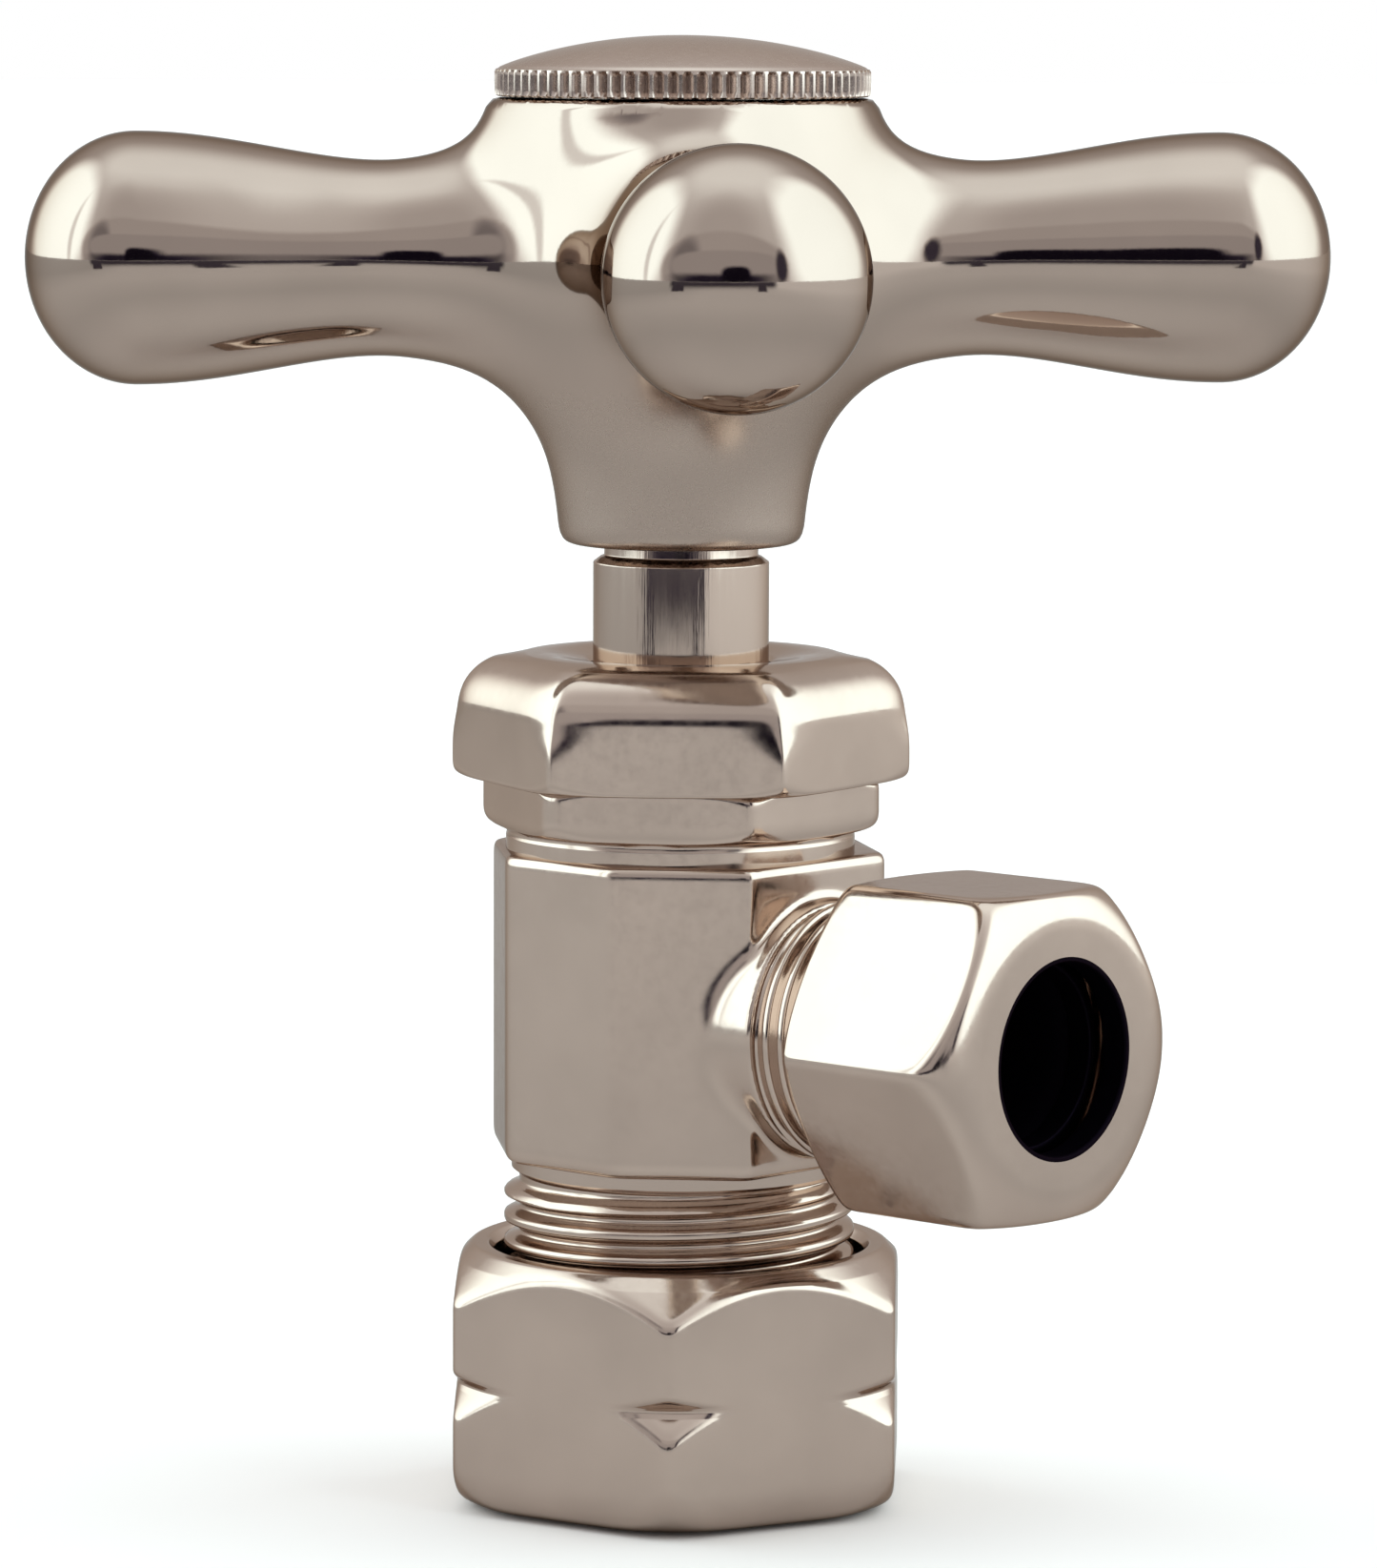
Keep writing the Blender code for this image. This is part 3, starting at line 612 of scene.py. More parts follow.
def build_outlet_nut():
    """The small nut, its face and back both rounded off."""
    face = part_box("outlet_nut")[1].x / MM + 0.35
    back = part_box("outlet_nut")[0].x / MM - 0.6
    lip = [(7.4, face - 3.0, 0), (5.12, face - 1.6, 0.3), (5.12, face - 0.12, 0.05)]
    lip += [(5.18, face, 0.05), (6.9, face, 0)]
    front = [(6.9, face, 0), (7.6, face - 0.05, 0), (8.3, face - 0.24, 0), (9.0, face - 0.64, 0)]
    front += [(9.6, face - 1.22, 0), (10.1, face - 2.0, 0), (10.5, face - 3.1, 0)]
    front += [(10.9, face - 4.3, 0)]
    rear = [(11.0, back + 2.3, 0), (10.6, back + 1.5, 0), (10.1, back + 0.85, 0)]
    rear += [(9.5, back + 0.4, 0), (8.9, back + 0.12, 0), (8.3, back + 0.01, 0), (7.9, back, 0)]
    rows = plain_rows(lip, 0.2, 8)[:-1] + curved_rows(front)
    rows += [(NO_LIMIT, x, 0.0) for x in np.linspace(face - 4.6, back + 2.6, 5)]
    rows += curved_rows(rear) + [(7.5, back + 0.1, 0), (7.4, back + 0.4, 0)]
    return hex_nut(
        "outlet_compression_nut",
        rows,
        flats=17.4,
        turn=0.0,
        corner=0.9,
        reach=0.9,
        core=7.85,
        axis="X",
        level=OUTLET_LEVEL,
    )


def build_packing_nut():
    """The domed nut: its flats roll over into the dome, and its corners follow their own curve."""
    low, high = (c.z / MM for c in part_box("packing_nut"))
    low -= 0.25
    rows = plain_rows([(4.975, 43.9, 0), (4.975, high - 0.35, 0.05), (5.15, high - 0.2, 0)])
    crown = [(5.3, high - 0.13, 0), (6.5, high + 0.1, 0), (7.6, high + 0.22, 0)]
    rows += curved_rows(crown + [(8.6, high + 0.2, 0)], 0.2)
    corner_curve = [(-4.9, 13.5), (-3.95, 12.9), (-2.9, 12.45), (-1.85, 12.2), (-1.15, 11.9)]
    limit_at = spline(corner_curve + [(-0.6, 11.5), (-0.1, 10.9), (0.3, 9.9)])
    roll = 3.05
    turns = np.radians(np.linspace(64, 0, 24))
    drops = np.concatenate([roll * np.sin(turns) - 2.8, np.linspace(-3.0, -4.8, 9)])
    insets = np.concatenate([roll * (1 - np.cos(turns)), np.zeros(9)])
    for limit, drop, inset in zip(limit_at(drops), drops, insets):
        rows.append((float(limit), high + float(drop), float(inset)))
    foot = [(14.0, low + 1.4, 0), (13.4, low + 0.75, 0), (12.7, low + 0.28, 0)]
    rows += curved_rows(foot + [(12.0, low + 0.04, 0.05), (11.5, low, 0.2)])
    rows += [(9.2, low, 0.0), (9.1, low + 0.1, 0.0), (9.1, 43.9, 0.0)]
    return hex_nut("packing_hex_nut", rows, flats=21.8, turn=8.5, corner=0.5, reach=1.3, core=9.3)


def build_bonnet():
    """The bonnet: the gland round the packing, the hexagon, its neck and the screwed plug."""
    top = 39.5
    gland = [(7.3, 39.9, 0), (7.3, 42.9, 0), (8.5, 42.9, 0), (8.8, 42.6, 0), (8.8, top, 0)]
    rows = plain_rows(gland)
    shoulder = [(10.0, top, 0.05), (10.9, top - 0.06, 0), (11.4, top - 0.3, 0)]
    rows += curved_rows(shoulder + [(11.9, top - 0.8, 0)])
    under = [(12.1, 38.2, 0.0), (11.6, 37.75, 0.0), (11.1, 37.3, 0.02), (10.55, 36.97, 0.08)]
    rows += curved_rows(under + [(10.0, 36.82, 0.16)])
    neck = [(9.5, 36.72, 0), (9.48, 36.6, 0), (9.54, 36.4, 0.1), (9.54, 35.3, 0), (7.9, 35.3, 0)]
    rows += plain_rows(neck)
    rows += plain_rows([(7.9, 32.9, 0), (7.6, 32.6, 0), (4.975, 32.6, 0), (4.975, 39.9, 0)])
    return hex_nut("bonnet_piece", rows, flats=19.4, turn=3.0, corner=1.7, reach=0.9, core=9.6)


# ---- stem, cap and small pieces ----------------------------------------------------------------


def build_stem():
    """The spindle with its square drive, the hole for the handle screw and the jumper's hole."""
    stops = [(0, 55, 0), (4.2, 55, 0), (4.2, 51.65, 0.15), (4.4, 51.6, 0.05), (4.8, 51.3, 0.12)]
    stops += [(4.8, 39, 0.2), (4.4, 38.6, 0), (4.4, 31.6, 0.1), (4.0, 31.2, 0), (0, 31.2, 0)]
    stem = lathe("stem_spindle", stops)
    square = prism("square", square_outline(DRIVE_HALF), 54, 68.2, HANDLE_TURN)
    joined(stem, [square])
    holes = []
    for name, radius, high, low in (("screw_hole", 2.15, 70, 59.5), ("jumper_hole", 2.3, 37, 30)):
        outline = [(0, high, 0), (radius, high, 0), (radius, low, 0), (0, low, 0)]
        holes.append(lathe(name, outline, steps=64))
    joined(stem, holes, "DIFFERENCE")
    stem.data.set_sharp_from_angle(angle=math.radians(28))
    return stem


def build_cap():
    """A shallow dome over a rim of straight knurls, on a plug that screws into the hub."""
    teeth, tooth_depth = 82, 0.41
    tooth_share = 0.84  # the wave above this height is a tooth's flat top
    rim_low, rim_high = 76.5, 77.95
    swell_middle, swell_half, swell_size = 77.28, 0.9, 0.03

    def knurled(radius, height, angle):
        """The rim's radius, cut into teeth that run out at its edges, and swollen in its middle."""
        on_rim = (radius > 10.0) & (height > rim_low - 0.05) & (height < rim_high + 0.05)
        wave = 0.5 + 0.5 * np.cos(teeth * angle)
        cut = np.clip((tooth_share - wave) / tooth_share, 0, 1)
        from_low = np.clip((height - rim_low) / 0.25, 0, 1)
        from_high = np.clip((rim_high - height) / 0.2, 0, 1)
        swell = 1 - ((height - swell_middle) / swell_half) ** 2
        teeth_in = tooth_depth * cut * (from_low * from_high)
        return radius + on_rim * (swell_size * swell - teeth_in)

    rim = [(10.1, rim_high, 0), (10.16, rim_high - 0.12, 0)]
    rim += [(10.16, z, 0) for z in np.linspace(rim_high - 0.2, rim_low + 0.3, 9)]
    rim += [(10.14, rim_low + 0.08, 0), (10.0, rim_low, 0)]
    dome_foot = 78.05
    dome = []
    for r in np.linspace(0, 9.9, 34):
        dome.append((r, dome_foot + (CAP_TOP - dome_foot) * (1 - (r / 9.95) ** 2) ** 0.9, 0))
    plug = [(7.7, rim_low, 0), (7.7, 75.9, 0), (6.9, 75.9, 0), (6.9, 74.4, 0), (7.7, 74.4, 0)]
    plug += [(7.7, 73.9, 0), (7.4, 73.6, 0), (5.2, 73.6, 0), (5.2, 76.2, 0), (0, 76.2, 0)]
    stops = dome + [(9.98, 78.0, 0), (10.1, rim_high + 0.01, 0)] + rim + plug
    return lathe("index_button", stops, steps=teeth * 10, radius_of=knurled)


def build_ferrules():
    """The two compression sleeves, each tapered at both ends."""
    inlet_stops = [(8.04, 5, 0.1), (8.6, 5, 0.2), (9.3, 4.4, 0.3), (9.3, 3.9, 0.3)]
    inlet_stops += [(8.6, 2.7, 0.2), (8.04, 2.7, 0.1)]
    outlet_stops = [(4.86, 25, 0.1), (5.06, 25, 0.1), (6.4, 24.1, 0.2), (6.4, 23.8, 0.2)]
    outlet_stops += [(6.1, 23.5, 0.1), (4.86, 23.5, 0.1)]
    inlet = lathe("inlet_sleeve_ring", inlet_stops)
    outlet = lathe("outlet_sleeve_ring", outlet_stops, axis="X", level=OUTLET_LEVEL)
    return inlet, outlet


# ---- materials ---------------------------------------------------------------------------------


NOISE_LOW, NOISE_HIGH = 0.3, 0.7  # the range that a noise texture mostly keeps to
WAVES_PER_METRE = 160.0


def node(tree, kind, **values):
    """A new shader node, with each value set on its socket of that name, or else as a property."""
    made = tree.nodes.new(kind)
    for key, value in values.items():
        if key in made.inputs:
            made.inputs[key].default_value = value
        else:
            setattr(made, key, value)
    return made


def ease(tree, source, start, end, low=0.0, high=1.0):
    """A soft step from low to high as the source goes from start to end, rising or falling."""
    made = node(tree, "ShaderNodeMapRange", interpolation_type="SMOOTHSTEP")
    for key, value in (("From Min", start), ("From Max", end), ("To Min", low), ("To Max", high)):
        made.inputs[key].default_value = value
    tree.links.new(source, made.inputs["Value"])
    return made.outputs["Result"]


def maths(tree, operation, first, *others):
    """A Math node on numbers or other nodes' outputs."""
    made = node(tree, "ShaderNodeMath", operation=operation)
    for k, value in enumerate((first, *others)):
        if isinstance(value, (int, float)):
            made.inputs[k].default_value = value
        else:
            tree.links.new(value, made.inputs[k])
    return made.outputs[0]


def metal(
    name,
    colour,
    roughness,
    spread,
    grain,
    grain_depth,
    wave_depth,
    tint=0.03,
    stretch=(1, 1, 1),
    satin=None,
    edge=0.46,
):
    """Polished metal: even colour, a fine grain left by the mop, and slow waves in the polish.

    Spread is how far the roughness wanders, tint how far the colour does, and edge how bright a
    surface is when seen nearly edge on. Grain is the number of grains per metre, drawn out by
    stretch. Satin, as (low, high, extra, near, away), adds extra roughness below the height high
    and within the radius away."""
    made = bpy.data.materials.new(name)
    made.use_nodes = True
    tree = made.node_tree
    link = tree.links.new
    shader = tree.nodes["Principled BSDF"]
    shader.inputs["Metallic"].default_value = 1.0
    shader.inputs["Specular Tint"].default_value = (*[edge * warm for warm in EDGE_WARMTH], 1)
    coords = node(tree, "ShaderNodeTexCoord")
    mapping = node(tree, "ShaderNodeMapping")
    mapping.inputs["Scale"].default_value = stretch
    link(coords.outputs["Object"], mapping.inputs["Vector"])
    fine = node(tree, "ShaderNodeTexNoise", Scale=grain, Detail=4.0, Roughness=0.6)
    slow = node(tree, "ShaderNodeTexNoise", Scale=WAVES_PER_METRE, Detail=2.0)
    link(mapping.outputs["Vector"], fine.inputs["Vector"])
    link(coords.outputs["Object"], slow.inputs["Vector"])
    shade = node(tree, "ShaderNodeValToRGB")
    darker = [c * (1 - tint) for c in colour]
    lighter = [c * (1 + tint) for c in colour]
    shade.color_ramp.elements[0].position = NOISE_LOW
    shade.color_ramp.elements[0].color = (*darker, 1)
    shade.color_ramp.elements[1].position = NOISE_HIGH
    shade.color_ramp.elements[1].color = (*lighter, 1)
    link(slow.outputs["Fac"], shade.inputs["Fac"])
    link(shade.outputs["Color"], shader.inputs["Base Color"])
    gloss = node(tree, "ShaderNodeMapRange")
    gloss.inputs["From Min"].default_value = NOISE_LOW
    gloss.inputs["From Max"].default_value = NOISE_HIGH
    gloss.inputs["To Min"].default_value = roughness - spread
    gloss.inputs["To Max"].default_value = roughness + spread
    link(fine.outputs["Fac"], gloss.inputs["Value"])
    rough = gloss.outputs["Result"]
    if satin:
        low, high, extra, near, away = satin
        place_of = node(tree, "ShaderNodeSeparateXYZ")
        link(coords.outputs["Object"], place_of.inputs["Vector"])
        flat = node(tree, "ShaderNodeVectorMath", operation="MULTIPLY")
        flat.inputs[1].default_value = (1, 1, 0)
        link(coords.outputs["Object"], flat.inputs[0])
        off_axis = node(tree, "ShaderNodeVectorMath", operation="LENGTH")
        link(flat.outputs["Vector"], off_axis.inputs[0])
        below = ease(tree, place_of.outputs["Z"], low * MM, high * MM, extra, 0.0)
        inside = ease(tree, off_axis.outputs["Value"], near * MM, away * MM, 1.0, 0.0)
        rough = maths(tree, "ADD", rough, maths(tree, "MULTIPLY", below, inside))
    link(rough, shader.inputs["Roughness"])
    waves = node(tree, "ShaderNodeBump", Strength=1.0, Distance=wave_depth * MM)
    link(slow.outputs["Fac"], waves.inputs["Height"])
    grains = node(tree, "ShaderNodeBump", Strength=1.0, Distance=grain_depth * MM)
    link(fine.outputs["Fac"], grains.inputs["Height"])
    link(waves.outputs["Normal"], grains.inputs["Normal"])
    link(grains.outputs["Normal"], shader.inputs["Normal"])
    return made


def soft_stuff(name, colour, roughness, grain):
    """Rubber, fibre or plastic with a mottled colour and a fine rough skin."""
    made = bpy.data.materials.new(name)
    made.use_nodes = True
    tree = made.node_tree
    shader = tree.nodes["Principled BSDF"]
    shader.inputs["Roughness"].default_value = roughness
    coords = node(tree, "ShaderNodeTexCoord")
    speck = node(tree, "ShaderNodeTexNoise", Scale=grain, Detail=5.0)
    tree.links.new(coords.outputs["Object"], speck.inputs["Vector"])
    shade = node(tree, "ShaderNodeValToRGB")
    shade.color_ramp.elements[0].color = (*[c * 0.75 for c in colour], 1)
    shade.color_ramp.elements[1].color = (*[min(1, c * 1.2) for c in colour], 1)
    tree.links.new(speck.outputs["Fac"], shade.inputs["Fac"])
    tree.links.new(shade.outputs["Color"], shader.inputs["Base Color"])
    bump = node(tree, "ShaderNodeBump", Strength=0.5, Distance=0.02 * MM)
    tree.links.new(speck.outputs["Fac"], bump.inputs["Height"])
    tree.links.new(bump.outputs["Normal"], shader.inputs["Normal"])
    return made


NICKEL = (0.493, 0.396, 0.340)
# NICKEL 1.18 times lighter: painted light for the body, nuts, threads and stem
NICKEL_PAINTED_LIGHTER = (0.583, 0.468, 0.401)
CAP_NICKEL = (0.645, 0.532, 0.475)
EDGE_WARMTH = (1.25, 1.08, 0.97)  # the hue of a surface seen nearly edge on


# Part, name, colour, roughness, spread, grain, grain depth and wave depth, then what else differs
METALS = (
    ("handle", "nickel_handle", NICKEL, 0.05, 0.02, 2600.0, 0.0008, 0.004,
     {"satin": (60, 67.5, 0.22, 13, 19), "edge": 0.3}),
    ("body", "nickel_body", NICKEL_PAINTED_LIGHTER, 0.14, 0.05, 1500.0, 0.0018, 0.02,
     {"tint": 0.05, "edge": 0.42}),
    ("nut", "nickel_nut", NICKEL_PAINTED_LIGHTER, 0.13, 0.05, 1500.0, 0.0016, 0.02, {"tint": 0.05}),
    ("thread", "nickel_thread", NICKEL_PAINTED_LIGHTER, 0.12, 0.04, 2600.0, 0.003, 0.004, {}),
    ("stem", "nickel_stem", NICKEL_PAINTED_LIGHTER, 0.08, 0.03, 2200.0, 0.035, 0.002,
     {"stretch": (1, 1, 0.03)}),
    ("cap", "nickel_cap", CAP_NICKEL, 0.25, 0.04, 2600.0, 0.003, 0.004, {}),
    # Near-black painted shade for the inside of the outlet's bore and its sleeve
    ("bore", "dark_bore", (0.006, 0.004, 0.008), 0.6, 0.08, 1800.0, 0.004, 0.004, {}),
    ("brass", "turned_brass", (0.62, 0.40, 0.16), 0.24, 0.06, 1800.0, 0.004, 0.004, {}),
    ("steel", "screw_steel", (0.45, 0.45, 0.46), 0.22, 0.06, 2000.0, 0.003, 0.003, {}),
)
# Part, name, colour, roughness and grain
SOFTS = (
    ("rubber", "black_rubber", (0.02, 0.02, 0.021), 0.55, 1500.0),
    ("fibre", "red_fibre", (0.25, 0.08, 0.045), 0.8, 2500.0),
    ("ptfe", "white_ptfe", (0.8, 0.8, 0.77), 0.4, 1200.0),
)


def make_materials():
    """Every finish of the valve, by its part."""
    made = {part: metal(name, *numbers, **extra) for part, name, *numbers, extra in METALS}
    made.update({part: soft_stuff(*values) for part, *values in SOFTS})
    return made


def dress(obj, material):
    """Gives the whole object one material."""
    obj.data.materials.clear()
    obj.data.materials.append(material)


def paint_bore_shade(obj, material, radius, start):
    """Paints shade into the outlet's bore: its faces beyond x = start get a near-black material."""
    obj.data.materials.append(material)
    for face in obj.data.polygons:
        x, y, z = (c / MM for c in face.center)
        if x > start and math.hypot(y, z - OUTLET_LEVEL) < radius:
            face.material_index = 1


# ---- light tent, floor and camera --------------------------------------------------------------

VIEW_ANGLE = math.radians(-47.7)  # bearing of the camera from the valve, from +X
CAMERA_DISTANCE = 390.0
CAMERA_HEIGHT = 82.3
AIM_HEIGHT = 39.1
AIM_RIGHT = 0.44
ROLL = math.radians(0.2)
LENS = 164.9


def build_camera():
    out = Vector((math.cos(VIEW_ANGLE), math.sin(VIEW_ANGLE), 0))
    right = Vector((-out.y, out.x, 0))
    place = out * CAMERA_DISTANCE + right * AIM_RIGHT + Vector((0, 0, CAMERA_HEIGHT))
    aim = right * AIM_RIGHT + Vector((0, 0, AIM_HEIGHT))
    camera = bpy.data.objects.new("camera", bpy.data.cameras.new("camera"))
    bpy.context.scene.collection.objects.link(camera)
    turn = (aim - place).to_track_quat("-Z", "Y").to_matrix().to_4x4()
    camera.matrix_world = Matrix.Translation(place * MM) @ turn @ Matrix.Rotation(ROLL, 4, "Z")
    camera.data.lens = LENS
    camera.data.sensor_width = 36.0
    camera.data.clip_start = 0.01
    bpy.context.scene.camera = camera


# Each panel of the tent is a rounded patch on the sky: (azimuth right of the camera, elevation) of
# its middle and its half sizes, in degrees, then its squareness, the softness of its edge and its
# brightness. Later panels lie over earlier ones.
TENT = (
    ((0, 90), (400, 34), 2, 0.4, 2.2),
    ((-8, 48), (85, 26), 2, 0.6, 1.6),
    ((-12, 42), (38, 24), 2.2, 0.6, 1.15),
    ((-99, 22), (40, 35), 2.6, 0.22, 3.5),
    ((86, 26), (44, 40), 3.0, 0.22, 3.35),
    ((-77, 16), (2.5, 26), 2, 0.6, 2.2),
    ((-10, 8), (51, 30), 2.0, 0.07, 1.0),
    ((-40, 12), (12, 19), 2, 0.35, 0.5),
    ((-8, 11), (45, 12), 2.2, 0.09, 0.86),
    ((-9, 0), (38, 5), 4, 0.4, 0.05),
    ((36, 10), (4.5, 12), 2, 0.35, 0.12),
    ((1, 4), (11, 7), 3, 0.2, 0.02),
)
TENT_BASE = 1.2
TENT_TINT = (
    (0.0, (0.7, 0.52, 1.2)),
    (0.06, (0.96, 0.93, 1.0)),
    (0.25, (1.0, 1.0, 1.0)),
    (0.45, (1.0, 1.09, 1.1)),
    (0.85, (1.0, 1.21, 1.24)),
)
TINT_SCALE = 4.0
WALL_GLOW = 0.583
FLOOR_COLOUR = (0.44, 0.405, 0.396)
FLOOR_SEEN = 2.2  # how many times FLOOR_COLOUR the camera itself sees, the same everywhere
# Painted light and shade on the floor, which only the polish sees: where its tone starts and stops
# changing, in metres, and by what share: by distance from the valve, then by distance to the right
# of the line to the camera. It is lighter away from the valve, lighter again at its foot to fill the
# valve's shadow, lighter to the right and darker to the left.
PAINTED_LIGHT_FAR = (0.04, 0.26, 0.22)
PAINTED_LIGHT_NEAR = (0.12, 0.03, 0.3)
PAINTED_LIGHT_RIGHT = (0.15, 0.6, 0.35)
PAINTED_SHADE_LEFT = (-0.12, -0.5, -0.3)

# Grey card: lengths in metres, bearings in degrees right of the camera
CARD_REACH = (0.35, 5.8)
CARD_HALF = 42
CARD_TURN = -10
CARD_HEIGHT = 0.0004
CARD_COLOUR = (0.03, 0.02, 0.035, 1)
CARD_FADE = (0.5, 1.5)
CARD_BAND = (-50, 30, 2.5, 0.93)  # from, to, softness of the edge, cover
CARD_STRIPES = ((-48, -38, 1.2, 0.97), (17, 23, 1.2, 0.97))
STRIPE_FADE = (0.5, 0.57)


def front_coordinates(tree, kind):
    """Texture coordinates of a kind, and their parts with +X turned to the bearing VIEW_ANGLE."""
    coords = node(tree, "ShaderNodeTexCoord")
    spin = node(tree, "ShaderNodeVectorRotate", rotation_type="Z_AXIS", Angle=-VIEW_ANGLE)
    tree.links.new(coords.outputs[kind], spin.inputs["Vector"])
    parts = node(tree, "ShaderNodeSeparateXYZ")
    tree.links.new(spin.outputs["Vector"], parts.inputs["Vector"])
    return coords, parts


def distance_from_axis_foot(tree, coords):
    """Distance from the valve's foot, on the floor."""
    far = node(tree, "ShaderNodeVectorMath", operation="LENGTH")
    tree.links.new(coords.outputs["Object"], far.inputs[0])
    return far.outputs["Value"]


def matt(name):
    """A plain matt material, its node tree and its shader."""
    made = bpy.data.materials.new(name)
    made.use_nodes = True
    shader = made.node_tree.nodes["Principled BSDF"]
    shader.inputs["Roughness"].default_value = 0.9
    shader.inputs["Specular IOR Level"].default_value = 0.1
    return made, made.node_tree, shader


def build_world():
    """The tent as a procedural sky; the camera itself sees plain white behind the floor."""
    world = bpy.data.worlds.new("light_tent")
    bpy.context.scene.world = world
    world.use_nodes = True
    tree = world.node_tree
    tree.nodes.clear()
    link = tree.links.new

    def patch(centre, half, power, soft):
        """1 inside a rounded patch of the sky, falling softly to 0 outside it."""
        offset = maths(tree, "SUBTRACT", azimuth, centre[0])
        across = maths(tree, "WRAP", offset, 180.0, -180.0)
        up = maths(tree, "SUBTRACT", elevation, centre[1])
        terms = []
        for distance, size in ((across, half[0]), (up, half[1])):
            share = maths(tree, "ABSOLUTE", maths(tree, "DIVIDE", distance, size))
            terms.append(maths(tree, "POWER", share, power))
        far = maths(tree, "POWER", maths(tree, "ADD", *terms), 1 / power)
        return ease(tree, far, 1 - soft, 1 + soft, 1.0, 0.0)

    _, parts = front_coordinates(tree, "Generated")
    bearing = maths(tree, "ARCTAN2", parts.outputs["Y"], parts.outputs["X"])
    azimuth = maths(tree, "MULTIPLY", bearing, 180 / math.pi)
    rise = maths(tree, "ARCSINE", parts.outputs["Z"])
    elevation = maths(tree, "MULTIPLY", rise, 180 / math.pi)
    level = maths(tree, "ADD", TENT_BASE, 0.0)
    for centre, half, power, soft, value in TENT:
        step = maths(tree, "SUBTRACT", value, level)
        change = maths(tree, "MULTIPLY", step, patch(centre, half, power, soft))
        level = maths(tree, "ADD", level, change)
    tint = tree.nodes.new("ShaderNodeValToRGB")
    ramp = tint.color_ramp.elements
    while len(ramp) < len(TENT_TINT):
        ramp.new(0.5)
    for stop, (position, colour) in zip(ramp, TENT_TINT):
        stop.position = position
        stop.color = (*colour, 1)
    link(maths(tree, "DIVIDE", level, TINT_SCALE), tint.inputs["Fac"])
    background = tree.nodes.new("ShaderNodeBackground")
    link(tint.outputs["Color"], background.inputs["Color"])
    link(maths(tree, "MULTIPLY", level, WALL_GLOW), background.inputs["Strength"])
    backdrop = tree.nodes.new("ShaderNodeBackground")
    backdrop.inputs["Color"].default_value = (1, 1, 1, 1)
    path = tree.nodes.new("ShaderNodeLightPath")
    mix = tree.nodes.new("ShaderNodeMixShader")
    output = tree.nodes.new("ShaderNodeOutputWorld")
    link(path.outputs["Is Camera Ray"], mix.inputs[0])
    link(background.outputs[0], mix.inputs[1])
    link(backdrop.outputs[0], mix.inputs[2])
    link(mix.outputs[0], output.inputs["Surface"])


def build_floor():
    """A pale sheet, even to the camera; the polish sees it darker, with painted light and shade."""
    bpy.ops.mesh.primitive_circle_add(
        vertices=96, radius=6.0, fill_type="NGON", location=(0, 0, -0.0002)
    )
    floor = bpy.context.object
    floor.name = "floor"
    made, tree, shader = matt("pale_floor")
    coords, parts = front_coordinates(tree, "Object")
    far = distance_from_axis_foot(tree, coords)
    total = 1.0
    # Painted light and shade on the floor, seen only in the polish
    for source, start, end, gain in (
        (far, *PAINTED_LIGHT_FAR),
        (far, *PAINTED_LIGHT_NEAR),
        (parts.outputs["Y"], *PAINTED_LIGHT_RIGHT),
        (parts.outputs["Y"], *PAINTED_SHADE_LEFT),
    ):
        total = maths(tree, "ADD", ease(tree, source, start, end, 0.0, gain), total)
    seen = node(tree, "ShaderNodeLightPath").outputs["Is Camera Ray"]
    total = maths(tree, "MULTIPLY", total, maths(tree, "SUBTRACT", 1.0, seen))
    total = maths(tree, "ADD", total, maths(tree, "MULTIPLY", seen, FLOOR_SEEN))
    paper = node(tree, "ShaderNodeVectorMath", operation="SCALE")
    paper.inputs[0].default_value = FLOOR_COLOUR
    tree.links.new(total, paper.inputs["Scale"])
    tree.links.new(paper.outputs["Vector"], shader.inputs["Base Color"])
    dress(floor, made)


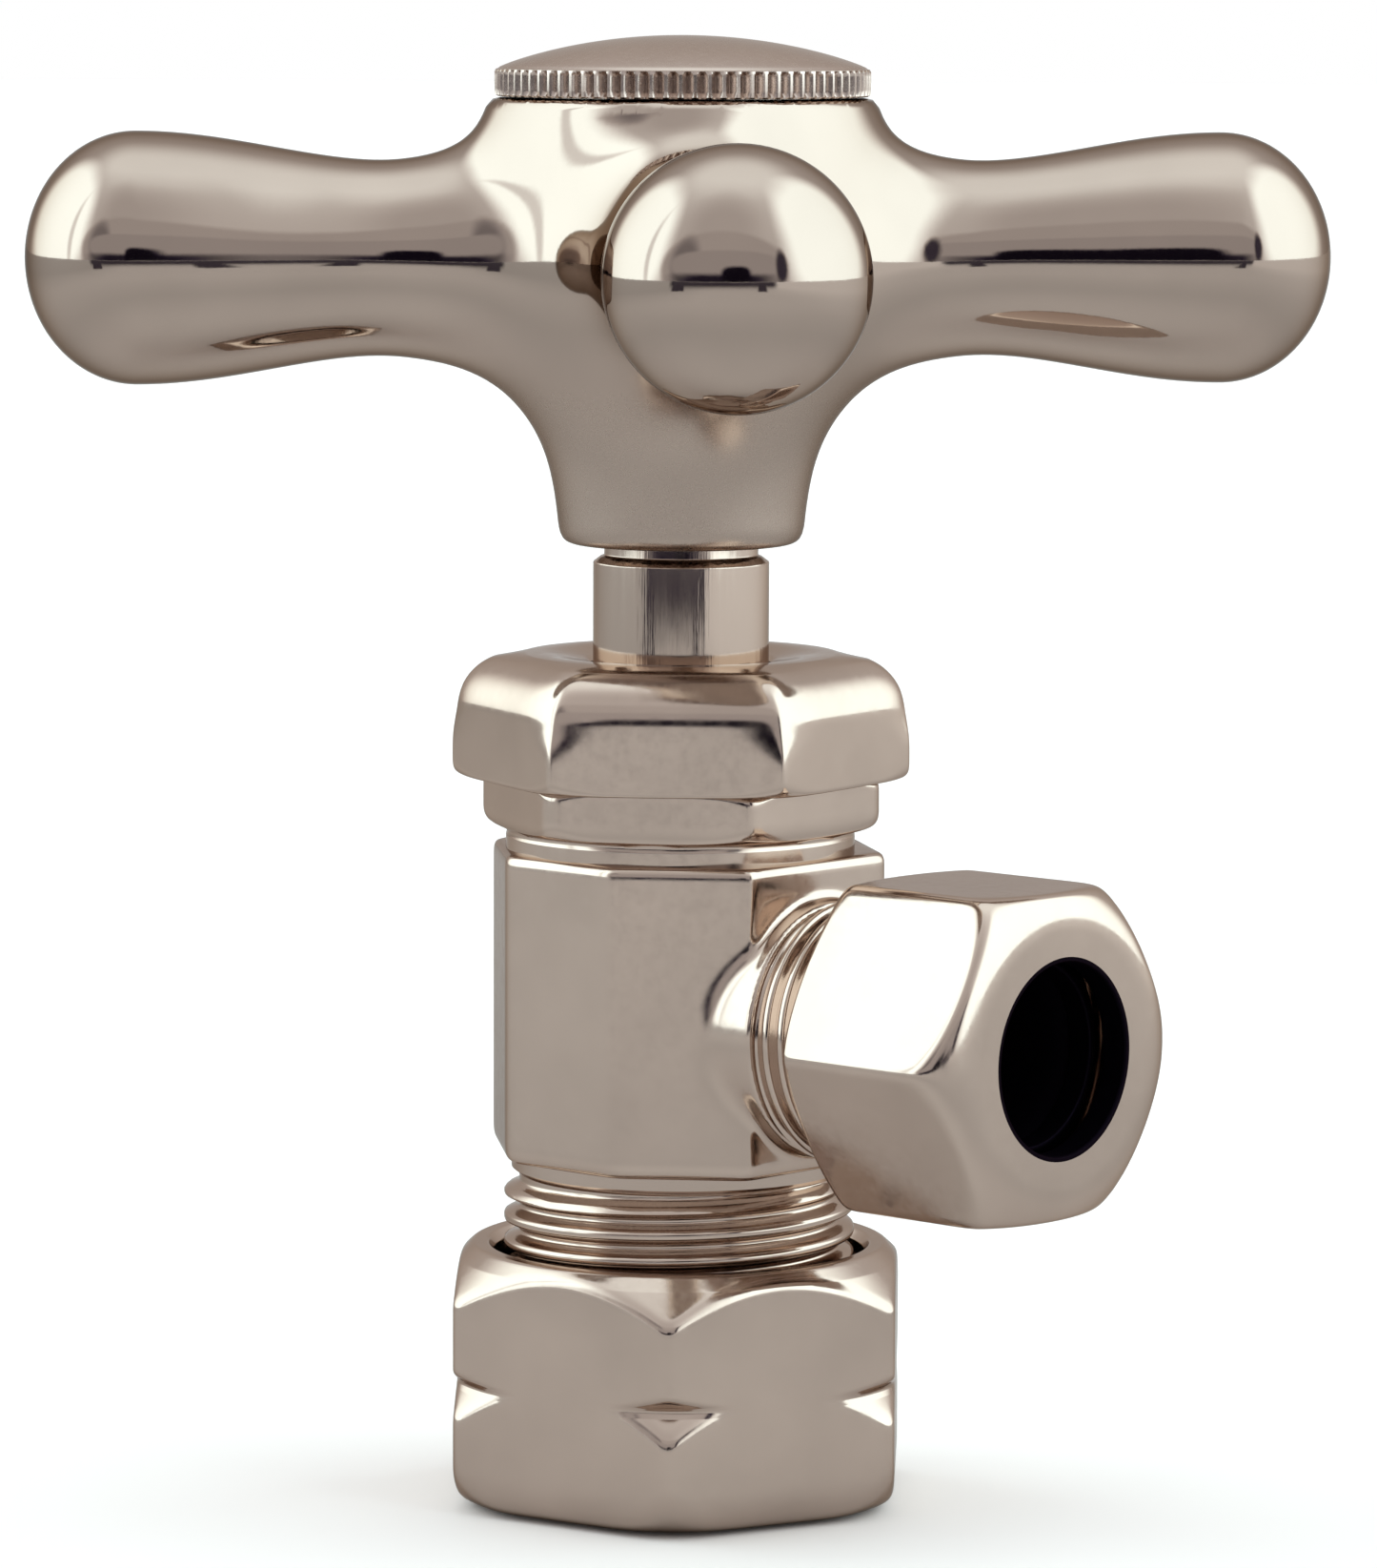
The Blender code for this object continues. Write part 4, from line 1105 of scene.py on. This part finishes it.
def build_card():
    """A dark card in front of the valve, fading in with distance, that only the polish sees."""
    corners = []
    for reach, sides in ((CARD_REACH[0], (-1, 1)), (CARD_REACH[1], (1, -1))):
        for side in sides:
            turn = VIEW_ANGLE + math.radians(side * CARD_HALF + CARD_TURN)
            corners.append((reach * math.cos(turn), reach * math.sin(turn), CARD_HEIGHT))
    mesh = bpy.data.meshes.new("grey_card")
    mesh.from_pydata(corners, [], [(0, 1, 2, 3)])
    card = bpy.data.objects.new("grey_card", mesh)
    bpy.context.scene.collection.objects.link(card)
    paint, tree, shade = matt("grey_card")
    shade.inputs["Base Color"].default_value = CARD_COLOUR
    coords, parts = front_coordinates(tree, "Object")
    distance = distance_from_axis_foot(tree, coords)
    bearing = maths(tree, "ARCTAN2", parts.outputs["Y"], parts.outputs["X"])

    def band(low, high, soft, depth):
        """Depth between two bearings in degrees, falling softly to 0 outside them."""
        edges = [math.radians(v) for v in (low - soft, low + soft, high + soft, high - soft)]
        rise, fall = ease(tree, bearing, *edges[:2]), ease(tree, bearing, *edges[2:])
        return maths(tree, "MULTIPLY", maths(tree, "MULTIPLY", rise, fall), depth)

    cover = maths(tree, "MULTIPLY", ease(tree, distance, *CARD_FADE), band(*CARD_BAND))
    for stripe_band in CARD_STRIPES:
        stripe = maths(tree, "MULTIPLY", ease(tree, distance, *STRIPE_FADE), band(*stripe_band))
        cover = maths(tree, "MAXIMUM", cover, stripe)
    tree.links.new(cover, shade.inputs["Alpha"])
    dress(card, paint)
    card.visible_camera = False


# ---- assembly ----------------------------------------------------------------------------------


def place(piece, body, material, *nodes):
    """Finishes a piece, and puts it on its body in place of its CAD nodes."""
    dress(piece, material)
    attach(piece, body)
    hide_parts(*nodes)


finishes = make_materials()
place(build_handle(), "stem_and_handle", finishes["handle"], "cross_handle")
place(build_body(), "valve", finishes["body"], "valve_body")
inlet_thread, outlet_thread = build_threads()
place(inlet_thread, "valve", finishes["thread"], "valve_body")
place(outlet_thread, "valve", finishes["thread"], "valve_body")
paint_bore_shade(outlet_thread, finishes["bore"], radius=5.7, start=11.5)
place(build_inlet_nut(), "inlet_hex", finishes["nut"], "inlet_nut")
outlet_hex = build_outlet_nut()
place(outlet_hex, "outlet_hex", finishes["nut"], "outlet_nut")
paint_bore_shade(outlet_hex, finishes["bore"], radius=5.45, start=11.5)
place(build_packing_nut(), "valve", finishes["nut"], "packing_nut")
place(build_bonnet(), "valve", finishes["nut"], "bonnet")
place(build_cap(), "cap", finishes["cap"], "index_cap")
inlet_ring, outlet_ring = build_ferrules()
place(inlet_ring, "inlet_sleeve", finishes["brass"], "inlet_ferrule")
# The brass outlet sleeve takes the near-black bore material: painted shade
place(outlet_ring, "outlet_sleeve", finishes["bore"], "outlet_ferrule")
for cad_name, finish in (
    ("stem", "stem"),
    ("bonnet_gasket", "fibre"),
    ("packing_washer", "brass"),
    ("stem_packing", "ptfe"),
    ("friction_ring", "brass"),
    ("jumper", "brass"),
    ("seat_washer", "rubber"),
    ("seat_washer_screw", "brass"),
    ("handle_screw", "steel"),
    ("handle_lock_washer", "steel"),
    ("cap_o_ring", "rubber"),
):
    dress(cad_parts[cad_name], finishes[finish])
place(build_stem(), "stem_and_handle", finishes["stem"], "stem")

build_floor()
build_card()
build_world()
build_camera()
bpy.context.scene.view_settings.view_transform = "Standard"
